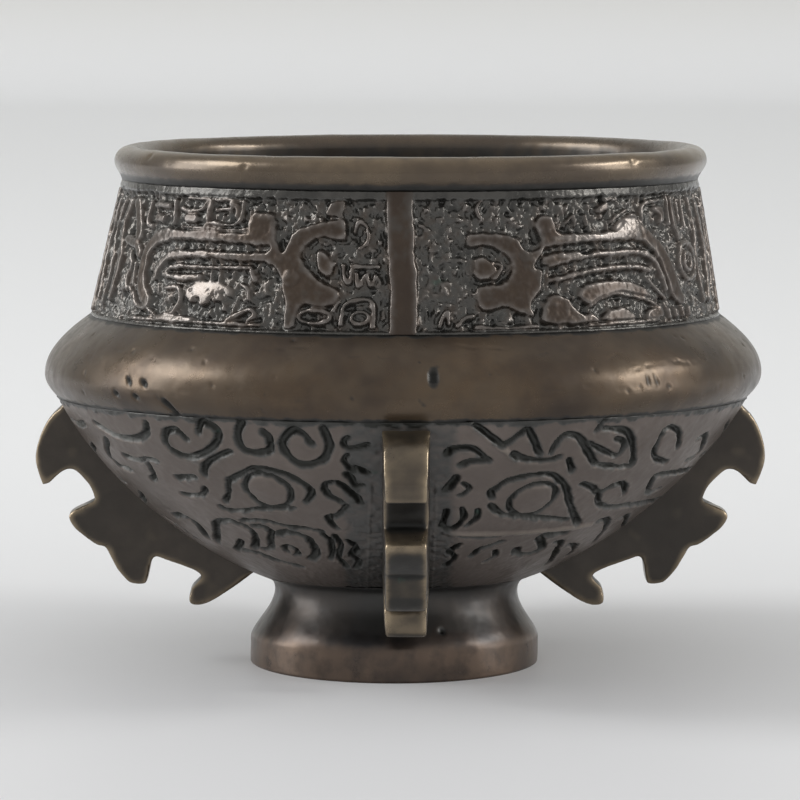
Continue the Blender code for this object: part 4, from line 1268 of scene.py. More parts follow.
    def right_strokes(self) -> list[Stroke]:
        """Relief right of the front rib: a beast's ear, layered crest, eye and curled tail."""
        return [
            standing_field((10.9, 6.5), (13.0, 6.2), (18.0, 6.6), (20.6, 7.1), (22.4, 8.9),
                           (25.1, 8.6), (25.4, 7.0), (24.3, 5.4), (25.3, 4.0), (27.6, 3.9),
                           (28.5, 5.0), (29.2, 6.4), (34.0, 6.6), (42.0, 6.5), (44.2, 5.6),
                           (46.2, 4.2), (48.4, 4.0), (50.6, 5.7), (53.6, 7.4), (56.2, 9.2),
                           (58.5, 12.0), (60.4, 15.4), (61.4, 17.8), (59.4, 18.0),
                           (57.0, 16.4), (56.0, 14.0), (54.6, 11.4), (52.4, 9.3),
                           (49.6, 8.2), (46.0, 7.9), (36.0, 7.9), (30.0, 8.2), (26.6, 8.3),
                           (25.4, 9.5), (23.9, 11.2), (25.4, 12.0), (25.0, 14.6),
                           (22.9, 16.8), (23.4, 18.8), (20.6, 18.0), (17.6, 17.2),
                           (13.8, 17.6), (12.7, 16.2), (12.9, 14.4), (17.4, 13.8),
                           (19.1, 12.2), (19.2, 10.6), (18.0, 9.2), (14.6, 8.1),
                           (11.4, 8.2)),
            standing_field((12.6, 10.2), (14.4, 10.0), (16.4, 11.4), (14.8, 12.9),
                           (12.6, 12.6)),
            wire((15.6, 10.6), (17.4, 11.2), (16.2, 12.8), width=0.5),
            band(1.5, (26.2, 10.6), (29.0, 10.1), (33.0, 9.9)),
            band(1.0, (27.0, 11.1), (33.0, 10.2), (38.0, 9.8), (45.0, 9.6), (50.0, 10.0),
                 (53.0, 11.4), (54.6, 13.6), (55.4, 15.6)),
            band(0.9, (27.0, 13.4), (31.0, 12.9), (36.0, 12.2), (42.0, 11.9), (47.0, 12.0),
                 (51.2, 12.6)),
            standing_field((32.6, 15.8), (34.4, 14.4), (38.0, 13.9), (43.0, 13.9),
                           (47.0, 14.6), (50.4, 16.6), (46.0, 16.2), (41.4, 15.6),
                           (37.4, 16.4), (34.6, 17.2)),
            wire((35.2, 17.3), (37.8, 16.3), (41.0, 15.8), (44.4, 16.2), (48.6, 16.9),
                 (52.6, 18.3), width=0.7),
            wire((50.2, 14.1), (52.0, 15.4), (54.6, 17.0), width=0.7),
            standing_field((37.4, 19.6), (38.6, 18.5), (41.2, 17.9), (43.6, 18.4),
                           (45.4, 19.6), (41.0, 19.9)),
            standing_field((48.4, 19.8), (49.6, 18.4), (52.4, 18.4), (53.2, 19.6)),
            standing_field((25.4, 19.6), (26.0, 16.4), (28.0, 15.6), (30.4, 16.4),
                           (32.8, 18.4), (35.4, 18.8), (36.0, 19.9)),
            wire((34.6, 20.3), (42.0, 20.2), (52.0, 20.2), width=0.5),
            wire((6.0, 20.0), (6.6, 18.4), (7.3, 17.8), (7.6, 19.6), width=0.7),
            wire((9.0, 20.0), (10.4, 18.8), (12.0, 18.4), width=0.7),
            wire((12.6, 20.2), (17.6, 20.4), (24.0, 20.2), width=0.6),
            band(1.2, (39.2, 3.2), (40.8, 2.6)),
            wire((42.2, 4.9), (44.0, 4.0), (46.4, 3.4), width=0.7),
            wire((41.0, 1.5), (43.6, 1.5), width=0.6),
            wire((31.2, 4.8), (32.8, 4.0), (33.0, 5.4), width=0.5),
            wire((35.6, 4.0), (35.8, 5.4), width=0.6),
            wire((13.4, 3.8), (12.8, 2.4), (14.2, 1.0), width=0.5),
            wire((50.6, 5.8), (50.8, 3.4), (53.0, 2.4), (59.0, 2.2), width=0.7),
            standing_field((54.8, 3.4), (57.6, 3.2), (57.9, 5.2), (56.2, 5.6), (56.4, 4.6)),
            wire((60.0, 1.8), (59.9, 5.8), width=0.7),
            band(1.4, (61.6, 2.2), (61.8, 5.6), (63.0, 7.8)),
            wire((64.0, 3.0), (64.2, 6.0), width=0.7),
            wire((66.4, 2.6), (66.6, 6.6), width=0.8),
            wire(*oval((65.8, 11.8), 3.0, 2.8, 0.81), closed=True),
            wire(*oval((65.8, 11.8), 1.4, 1.3, 0.81), closed=True, width=0.6),
            *(band(1.0, (at, 18.9), (at + 0.2, 19.7)) for at in (55.2, 57.6, 60.2, 62.8)),
            wire((70.6, 2.6), (71.8, 7.0), (70.6, 12.6), (72.0, 18.0)),
            band(1.4, (75.5, 3.4), (77.6, 10.4), (75.8, 17.8)),
            wire((81.4, 3.0), (82.4, 10.0), (80.8, 18.0))]

    def cuts(self) -> list[Stroke]:
        """Lines and pits chiselled into the relief."""
        return [
            cut((-55.0, 14.2), (-55.8, 11.6), (-54.0, 9.4), (-50.0, 8.6), (-44.0, 8.4),
                (-34.0, 8.5), width=1.2, depth=1.1),
            cut((-34.0, 8.5), (-30.4, 8.5), width=1.3, depth=1.2),
            cut((-51.6, 12.0), (-49.0, 11.1), (-40.0, 11.0), (-29.6, 11.1), width=0.6),
            cut((-48.6, 12.6), (-40.0, 12.5), (-29.0, 12.6), width=0.7),
            cut((-50.0, 14.5), (-46.0, 14.4), (-42.2, 13.9), width=0.8, depth=1.1),
            cut((-52.0, 15.2), (-52.0, 17.4), (-51.2, 19.2), width=1.5, depth=1.4),
            cut((-43.4, 14.4), (-45.0, 16.4), (-46.2, 18.2), width=0.9),
            cut((-52.4, 2.6), (-52.4, 5.2), width=0.9, depth=1.2),
            cut((-59.6, 2.8), (-59.4, 5.2), width=0.9, depth=1.1),
            cut((-49.0, 3.9), (-49.0, 5.2), width=1.2, depth=1.4),
            cut((-44.0, 3.7), (-43.9, 4.9), width=0.9, depth=1.2),
            cut((-46.9, 2.4), (-45.6, 2.4), width=0.9, depth=1.1),
            cut((-40.8, 2.2), (-40.7, 5.0), width=0.5),
            cut((-39.4, 4.5), (-35.6, 4.6), width=0.7, depth=0.9),
            cut((-32.6, 2.4), (-32.4, 5.2), width=0.9),
            cut((-40.8, 17.4), (-39.8, 16.6), (-38.6, 17.5), (-36.6, 16.9), width=0.7,
                depth=0.9),
            cut((-27.8, 8.2), (-27.7, 9.0), width=0.8, depth=0.8),
            Stroke(oval((-21.5, 13.0), 1.7, 1.6, 0.82), 0.6, Work.CHISELLED, 0.8, True),
            Stroke(oval((-16.8, 15.2), 1.6, 0.6, 0.82), 0.7, Work.CHISELLED, 0.9, True),
            cut((-18.6, 17.8), (-16.4, 17.3), (-14.4, 17.9), width=0.8, depth=1.1),
            cut((11.2, 8.8), (14.4, 8.6), (17.4, 9.6), (18.4, 11.0), (17.4, 12.8),
                (14.0, 13.7), (11.2, 13.6), width=0.9, depth=0.8),
            cut((23.6, 1.4), (22.2, 3.8), (21.2, 6.0), (22.2, 8.2), width=1.3, depth=1.3),
            cut((26.2, 6.6), (26.4, 8.0), (25.2, 9.6), (23.8, 10.9), width=0.8, depth=1.1),
            cut((26.6, 8.6), (34.0, 8.5), (44.0, 8.3), (50.0, 8.8), (53.4, 10.2),
                (55.2, 12.0), (56.2, 14.4), (58.0, 16.6), width=1.2, depth=1.1),
            cut((26.4, 11.8), (34.0, 11.0), (44.0, 10.7), (50.0, 11.2), (52.6, 13.0),
                (54.6, 15.8), width=0.8),
            cut((26.6, 12.2), (26.8, 13.8), (25.8, 15.8), (23.6, 18.0), width=1.0),
            cut((27.4, 14.6), (31.0, 13.8), (38.0, 13.1), (45.0, 13.0), (51.0, 13.4),
                width=0.8),
            cut((31.2, 14.4), (31.4, 16.0), (33.2, 17.2), (35.4, 17.9), (38.0, 17.2),
                (42.0, 16.9), (46.0, 17.6), width=0.7),
            cut((36.6, 19.6), (36.8, 18.4), width=0.7),
            cut((45.8, 20.0), (47.4, 18.6), (50.2, 17.7), width=0.8),
            cut((50.0, 14.6), (52.0, 16.2), (53.8, 17.5), width=0.9, depth=1.1),
            cut((27.2, 16.9), (28.6, 16.8), (29.3, 17.9), (28.6, 19.0), (27.2, 19.2),
                width=0.6),
            cut((20.1, 14.2), (21.6, 14.9), (24.6, 14.6), width=0.5, depth=0.8),
            cut((20.4, 15.6), (20.3, 17.6), width=0.4, depth=0.8),
            cut((15.5, 18.1), (18.0, 17.6), (21.0, 18.9), (24.4, 19.3), width=0.7),
            Stroke(oval((15.6, 15.5), 1.8, 0.4, 0.82), 0.6, Work.CHISELLED, 0.8, True),
            *(cut((at, 2.4), (at + 0.2, 6.0), width=0.6, depth=0.8)
              for at in (30.4, 34.5, 37.2, 41.4)),
            *(cut((at, 18.4), (at + 0.3, 20.0), width=0.6, depth=0.9)
              for at in (54.2, 56.4, 58.9, 61.4)),
            cut((52.2, 4.3), (55.0, 4.6), width=1.1, depth=1.1),
            cut((58.8, 3.0), (58.8, 5.6), width=0.6)]

    def sheet(self, foundry: Foundry) -> Sheet:
        """The band of relief as a height map.

        Args:
            foundry: What the casting is made with.

        Returns:
            The carved and weathered sheet.
        """
        outline = self.outline()
        sheet = Sheet(outline, 0.11, foundry.grain)
        sides = [band(4.4, (at, -1.0), (at, 22.0)) for at in (-90.0, 90.0)]
        sheet.carve([*sides, *self.left_strokes(), *self.right_strokes()])
        rough = foundry.fine_grain.rough(sheet.places, 0.85, 3)
        punched = foundry.fine_grain.at(sheet.places * (1.0, 0.7, 1.0) + 50.0, 0.46)
        dents = foundry.grain.rough(sheet.places + 60.0, 3.6, 2)
        streaks = foundry.grain.at(sheet.places * (0.12, 1.0, 1.0) + 20.0, 0.7)
        above = eased((self.top_border + 0.4 * rough - sheet.downs[:, None]) / 0.6 + 0.5)
        below = eased((sheet.downs[:, None] - outline.length + self.low_border) / 0.5 + 0.5)
        collar = np.maximum(above, below)
        relief = np.maximum(sheet.up, 0.9 * sheet.wires)
        sheet.cuts *= 1.0 - collar
        up = np.maximum(relief * (1.0 - collar), 0.85 * collar)
        sheet.up[:] = 0.0
        sheet.carve([band(4.1, (-2.1, -1.0), (-2.0, 1.0), (-1.2, 10.0), (-0.6, 14.0),
                          (-0.5, 22.0))])
        rib = sheet.up
        up = np.maximum(up, rib)
        collar *= 1.0 - rib
        ground = 1.0 - up
        domed = 0.10 * eased(up * 1.5 - 0.5)
        matted = (0.10 + 0.90 * ground) * (1.0 - rib) * (1.0 - 0.6 * collar)
        sheet.rise = (-self.sunk * ground - 0.48 * sheet.cuts + domed
                      + matted * (0.56 * rough + 0.34 * punched)
                      + 0.06 * dents + 0.06 * collar * streaks + 0.015 * rough)
        grime = eased(1.6 * foundry.grain.rough(sheet.places + 15.0, 2.2, 3) + 0.25)
        sheet.hollow = np.clip(0.42 * ground - 0.42 * ground * rough + sheet.cuts
                               + 0.50 * collar + 0.22 * grime + 0.05 * rib, 0.0, 1.0)
        sheet.raise_bosses([Boss((-21.5, 13.0), 1.4, 1.3, 0.22),
                            Boss((26.4, 5.0), 1.7, 1.4, 0.2)])
        sheet.weather(0.45, 0.26)
        sheet.wear *= 0.75 + 0.5 * rough
        # Spots and facets below take the worn colour: partly worn metal, partly painted highlight.
        sheet.rub_and_highlight([Boss((38.0, 7.2), 9.0, 0.7, 0.9), Boss((38.0, 9.9), 9.0, 0.6, 0.8)])
        sheet.file_facets([Boss((-38.9, 15.6), 5.2, 2.1, 1.1), Boss((47.0, 6.0), 3.9, 1.7, 1.0),
                           Boss((-47.0, 19.6), 6.0, 0.5, 0.5)])
        return sheet

    def build(self, foundry: Foundry) -> None:
        """Make the front half and the back half.

        Args:
            foundry: What the casting is made with.
        """
        outline = self.outline()
        sheet = self.sheet(foundry)
        hidden = inset(outline, self.shell, 8)

        def relief(degrees: np.ndarray, down: np.ndarray) -> tuple[np.ndarray, ...]:
            """Read the sheet at places on the neck."""
            return tuple(sheet.read(name, degrees, down) for name in ("rise", "hollow", "wear"))

        for name, start, sweep, step in (("neck_front_left", -90.0, 90.0, self.step),
                                         ("neck_front_right", 0.0, 90.0, self.step),
                                         ("neck_back", 90.0, 180.0, self.back_step)):
            columns = round(math.radians(sweep) * self.root[0] / step)
            foundry.turned_piece(name, outline, outline.spaced(step), hidden, columns, start,
                                 sweep, self.finish, relief)


@dataclass
class Belt:
    """The smooth shoulder belt between the bowl and the neck."""

    bowl: Bowl
    neck: Neck
    radius: float = 55.0
    middle: float = 44.5
    shell: float = 2.0
    step: float = 0.33
    columns: int = 1080
    finish: BronzeFinish = BronzeFinish(
        "belt_bronze", skin=(0.048, 0.036, 0.028), skin_light=(0.094, 0.065, 0.041),
        roughness=0.33, grain_strength=0.25, wear_share=0.5)

    def outline(self) -> Outline:
        """Section of the belt, from the neck down to the bowl."""
        top, bottom = self.neck.root, self.bowl.top
        proud = self.radius - bottom[0]
        under = self.middle - bottom[1]
        over = top[1] - self.middle
        middle = (self.radius, self.middle)
        lower = cubic(bottom, (bottom[0] + 0.5 * proud, bottom[1] + 0.3 * under),
                      (self.radius, self.middle - 0.4 * under), middle, 24)
        upper = cubic(middle, (self.radius, self.middle + 0.35 * over),
                      (top[0] + 0.64 * (self.radius - top[0]), top[1] - 0.34 * over), top, 40)
        return Outline(np.vstack([lower, upper[1:]])[::-1])

    def sheet(self, foundry: Foundry) -> Sheet:
        """Casting flaws, dents and scratches as a height map.

        Args:
            foundry: What the casting is made with.

        Returns:
            The marked sheet.
        """
        sheet = Sheet(self.outline(), 0.16, foundry.grain)
        slots = (((-48.6, 9.8), (-47.8, 10.6)), ((-45.0, 10.1), (-44.1, 10.7)),
                 ((-51.6, 12.2), (-50.8, 12.8)), ((-46.9, 12.4), (-46.1, 12.8)))
        sheet.carve([cut(*ends, width=0.8, depth=1.2) for ends in slots])
        sheet.carve([cut((-40.4, 12.8), (-39.4, 14.0), (-38.6, 15.4), width=1.2, depth=1.1),
                     cut((4.5, 7.2), (4.5, 9.2), width=1.8, depth=1.3),
                     cut((4.0, 6.7), (5.1, 6.6), width=0.8, depth=0.5),
                     cut((41.0, 9.2), (41.2, 10.6), width=0.4, depth=0.5),
                     cut((42.6, 9.0), (43.0, 10.6), width=0.4, depth=0.5)])
        rng = np.random.default_rng(11)
        for _ in range(70):
            at, down = rng.uniform(-88.0, 88.0), rng.uniform(2.0, 13.5)
            run, fall = rng.uniform(2.0, 9.0), rng.uniform(-1.2, 1.2)
            sheet.carve([Stroke(((at, down), (at + run, down + fall)), 0.28, Work.SCRATCH,
                                rng.uniform(0.06, 0.2))])
        for _ in range(46):
            at, down = rng.uniform(-88.0, 88.0), rng.uniform(1.0, 15.0)
            size = rng.uniform(0.25, 0.6)
            sheet.carve([cut((at, down), (at + 0.3, down + 0.2), width=size, depth=0.5)])
        dents = foundry.grain.rough(sheet.places + 12.0, 8.0, 3)
        rough = foundry.fine_grain.rough(sheet.places, 1.3, 2)
        sheet.rise = -0.5 * sheet.cuts + 0.09 * dents + 0.012 * rough
        near_edge = np.minimum(sheet.downs, sheet.outline.length - sheet.downs)[:, None]
        seam = eased((0.9 - near_edge + 0.5 * rough) / 0.9)
        sheet.hollow = np.clip(sheet.cuts * 1.2 + 0.95 * seam, 0.0, 1.0)
        sheet.wear = np.clip(0.5 * eased(0.4 + 1.6 * dents), 0.0, 0.35)
        return sheet

    def build(self, foundry: Foundry) -> None:
        """Make the belt as one closed ring.

        Args:
            foundry: What the casting is made with.
        """
        outline = self.outline()
        sheet = self.sheet(foundry)
        ends = outline.at(np.array([outline.length, 0.0]))
        hidden = np.array([ends[0] - (self.shell, 0.2), ends[1] - (self.shell, -0.2)])

        def relief(degrees: np.ndarray, down: np.ndarray) -> tuple[np.ndarray, ...]:
            """Read the sheet at places on the belt."""
            return tuple(sheet.read(name, degrees, down) for name in ("rise", "hollow", "wear"))

        foundry.turned_piece("shoulder_belt", outline, outline.spaced(self.step), hidden,
                             self.columns, 0.0, 360.0, self.finish, relief)


@dataclass
class Lip:
    """The round lip and, in one surface with it, the inside of the vessel."""

    neck: Neck
    bowl: Bowl
    radius: float = 45.3
    middle: float = 77.0
    rim: float = 79.2
    crest_radius: float = 43.1
    wall: float = 3.3
    belt_radius: float = 55.0
    floor: float = 15.2
    shell: float = 1.1
    lip_step: float = 0.35
    lining_step: float = 1.3
    columns: int = 600
    finish: BronzeFinish = BronzeFinish(
        "lip_bronze", skin=(0.066, 0.051, 0.040), skin_light=(0.098, 0.074, 0.050),
        worn=(0.28, 0.21, 0.13), roughness=0.28, wear_share=0.62, wax=0.3)

    def lip(self) -> np.ndarray:
        """Section of the lip, from the neck over the crest to the mouth."""
        mouth = self.neck.top[0] - self.wall
        below = self.middle - self.neck.top[1]
        above = self.rim - self.middle
        middle = (self.radius, self.middle)
        crest = (self.crest_radius, self.rim)
        flare = cubic(self.neck.top, (self.neck.top[0] + 0.1, self.neck.top[1] + 0.3 * below),
                      (self.radius, self.middle - 0.4 * below), middle, 12)
        outer = cubic(middle, (self.radius, self.middle + 0.55 * above),
                      (0.45 * crest[0] + 0.55 * self.radius, self.rim), crest, 12)
        inner = cubic(crest, (0.55 * mouth + 0.45 * crest[0], self.rim),
                      (mouth, self.rim - 0.45 * above), (mouth, self.middle), 12)
        return np.vstack([flare, outer[1:], inner[1:]])

    def lining(self) -> np.ndarray:
        """Section of the inside wall, from the mouth down to the middle of the floor."""
        mouth = self.neck.top[0] - self.wall
        neck_radius = self.neck.root[0] - self.wall
        outline = self.bowl.outline()
        downs = np.linspace(3.0, outline.length - 3.5, 16)
        wall = outline.at(downs) - self.wall * outline.normal(downs)
        wall = wall[wall[:, 1] > self.floor + 0.8]
        top = wall[0]
        rise = self.neck.root[1] - top[1]
        inside = self.belt_radius - self.wall
        belly = cubic((neck_radius, self.neck.root[1]),
                      (0.55 * neck_radius + 0.45 * inside, self.neck.root[1] - 0.3 * rise),
                      (0.4 * top[0] + 0.6 * inside, top[1] + 0.35 * rise), tuple(top), 10)
        edge = wall[-1]
        shares = np.linspace(0.85, 0.0, 8)[:, None]
        floor = np.hstack([edge[0] * shares,
                           self.floor + (edge[1] - self.floor) * shares ** 3])
        return np.vstack([[(mouth, self.neck.top[1])], belly, wall[1:], floor])

    def relief(self, foundry: Foundry, degrees: np.ndarray, down: np.ndarray,
               lip_length: float) -> tuple[np.ndarray, ...]:
        """Nicks and wear of the lip, and the rougher casting skin inside.

        Args:
            foundry: What the casting is made with.
            degrees: Angles from the front.
            down: Distances along the section from the neck.
            lip_length: Length of the lip's part of the section.

        Returns:
            Rise, hollow and wear.
        """
        angle = np.radians(degrees)
        spots = np.stack([self.radius * np.sin(angle), self.radius * np.cos(angle), down], -1)
        rough = foundry.fine_grain.rough(spots, 1.6, 3)
        dents = foundry.grain.rough(spots + 40.0, 9.0, 2)
        on_lip = eased((lip_length + 1.0 - down) / 3.0)
        rise = on_lip * (0.10 * dents + 0.02 * rough) + (1.0 - on_lip) * (0.14 * dents
                                                                          + 0.05 * rough)
        for at, below, wide in ((11.0, 3.1, 1.0), (14.8, 3.0, 0.8), (-33.0, 3.6, 0.7),
                                (47.0, 4.2, 0.9), (-61.0, 4.6, 0.8), (128.0, 4.0, 1.0)):
            gap = np.hypot((degrees - at) * math.radians(self.radius), down - below) / wide
            rise -= 0.22 * eased(1.0 - gap)
        under = eased((1.6 - down + 0.4 * rough) / 1.5)
        hollow = np.clip(0.95 * under + (1.0 - on_lip) * (0.45 + 0.3 * rough), 0.0, 1.0)
        edge = np.exp(-((down - 0.55 * lip_length) / 1.2) ** 2)
        wear = np.clip(on_lip * (0.25 + 0.5 * edge + 0.35 * dents) - under, 0.0, 1.0)
        return rise, hollow, wear

    def build(self, foundry: Foundry) -> None:
        """Make the lip and the lining as one closed shell.

        Args:
            foundry: What the casting is made with.
        """
        lip = Outline(self.lip())
        whole = Outline(np.vstack([self.lip(), self.lining()]), -1.0)
        inside = whole.length - lip.length
        downs = np.concatenate([lip.spaced(self.lip_step)[:-1],
                                np.linspace(lip.length, whole.length,
                                            round(inside / self.lining_step))])
        back_downs = np.linspace(whole.length, lip.length + 1.5, 24)
        hidden = whole.at(back_downs) - self.shell * whole.normal(back_downs)
        hidden[0] = (0.0, self.floor - self.shell)
        hidden = np.vstack([hidden, [(self.neck.top[0] - 1.4, self.neck.top[1] + 0.2)]])

        def relief(degrees: np.ndarray, down: np.ndarray) -> tuple[np.ndarray, ...]:
            """Marks of the lip and lining at places on them, calmer towards the axis."""
            rise, hollow, wear = self.relief(foundry, degrees, down, lip.length)
            calm = eased((whole.length - down) / 14.0)
            return rise * calm, hollow * calm + 0.45 * (1.0 - calm), wear

        foundry.turned_piece("lip_and_lining", whole, downs, hidden, self.columns, 0.0, 360.0,
                             self.finish, relief)


@dataclass
class Foot:
    """The waisted foot, hollow below."""

    bowl: Bowl
    radius: float = 22.1
    wall: float = 2.8
    lip_height: float = 3.8
    hollow_height: float = 11.2
    waist: Place = (18.6, 10.9)
    step: float = 0.3
    columns: int = 460
    finish: BronzeFinish = BronzeFinish(
        "foot_bronze", skin=(0.023, 0.022, 0.023), skin_light=(0.034, 0.030, 0.029),
        worn=(0.24, 0.165, 0.115), ground=(0.056, 0.056, 0.054), roughness=0.37,
        grain_strength=0.2, wear_share=0.6)

    def outside(self) -> np.ndarray:
        """Section of the outside, from the bowl down to the ground."""
        lip_top = (self.radius, self.lip_height)
        rise = self.waist[1] - self.lip_height
        root = self.bowl.root
        flare = cubic(lip_top, (self.radius - 0.5, self.lip_height + 0.3 * rise),
                      (self.waist[0], self.lip_height + 0.6 * rise), self.waist, 20)
        cove = cubic(self.waist, (self.waist[0], 0.4 * self.waist[1] + 0.6 * root[1]),
                     (0.6 * self.waist[0] + 0.4 * root[0], 0.15 * self.waist[1] + 0.85 * root[1]),
                     root, 10)
        side = np.linspace((self.radius, 0.0), lip_top, 8)
        return np.vstack([side, flare[1:], cove[1:]])[::-1]

    def hollow(self) -> np.ndarray:
        """Section of the hollow below, from the ground ring up to its middle."""
        inner = self.radius - self.wall
        throat = self.waist[0] - self.wall
        shares = np.linspace(0.0, 1.0, 6)[:, None]
        roof = np.hstack([throat * shares, self.hollow_height - 1.4 * shares ** 4])
        edge = float(roof[-1, 1])
        side = cubic((throat, edge), (throat, 0.6 * edge), (inner, 0.4 * edge), (inner, 0.0), 14)
        return np.vstack([roof, side[1:]])[::-1]

    def relief(self, foundry: Foundry, degrees: np.ndarray,
               down: np.ndarray) -> tuple[np.ndarray, ...]:
        """Dents, the worn lower lip, and painted shade over the upper foot, deepest at the front, with
        a painted highlight down both sides.

        Args:
            foundry: What the casting is made with.
            degrees: Angles from the front.
            down: Distances down the outside.

        Returns:
            Rise, hollow and wear.
        """
        angle = np.radians(degrees)
        spots = np.stack([self.radius * np.sin(angle), self.radius * np.cos(angle), down], -1)
        rough = foundry.fine_grain.rough(spots + 5.0, 1.4, 3)
        dents = foundry.grain.rough(spots + 25.0, 5.0, 3)
        rise = 0.09 * dents + 0.02 * rough
        gap = np.hypot((degrees - 20.0) * math.radians(self.radius), down - 8.1) / 0.9
        rise -= 0.35 * eased(1.0 - gap)
        ground = eased((down - (Outline(self.outside()).length - 1.0)) / 1.0)
        rise *= 1.0 - ground
        lip = Outline(self.outside()).length - self.lip_height
        # Painted shade: the upper foot is darkened, most at the front and least at the sides.
        waist = eased((lip - 1.0 - down + rough) / 3.0) * (1.0 - 0.6 * np.abs(np.sin(angle)))
        hollow = np.clip(0.12 * eased((3.6 - down + rough) / 3.0) + 0.4 * waist
                         + eased(1.0 - gap), 0.0, 1.0)
        near_lip = np.exp(-((down - lip) / 0.8) ** 2)
        past_lip = eased((down - lip + 1.4) / 2.4)
        # Painted highlight: a quarter of the worn colour is laid down both sides; the lip and dent
        # terms are real wear.
        aside = np.abs(np.sin(angle))
        wear = np.clip(0.25 * aside + 0.1 * near_lip + 0.55 * past_lip + 0.4 * dents, 0.0, 1.0)
        return rise, hollow, wear

    def build(self, foundry: Foundry) -> None:
        """Make the foot as one closed solid.

        Args:
            foundry: What the casting is made with.
        """
        outside = Outline(self.outside())
        hidden = np.vstack([self.hollow(), [(0.0, self.bowl.root[1] - 0.3),
                                            (0.9 * self.bowl.root[0], self.bowl.root[1] - 0.1)]])

        def relief(degrees: np.ndarray, down: np.ndarray) -> tuple[np.ndarray, ...]:
            """Marks of the foot at places on it."""
            return self.relief(foundry, degrees, down)

        foundry.turned_piece("foot", outside, outside.spaced(self.step), hidden, self.columns,
                             0.0, 360.0, self.finish, relief)


class Flank(Enum):
    """Where a flange stands, as its angle from the front."""

    FRONT = 0.0
    RIGHT = 90.0
    BACK = 180.0
    LEFT = -90.0


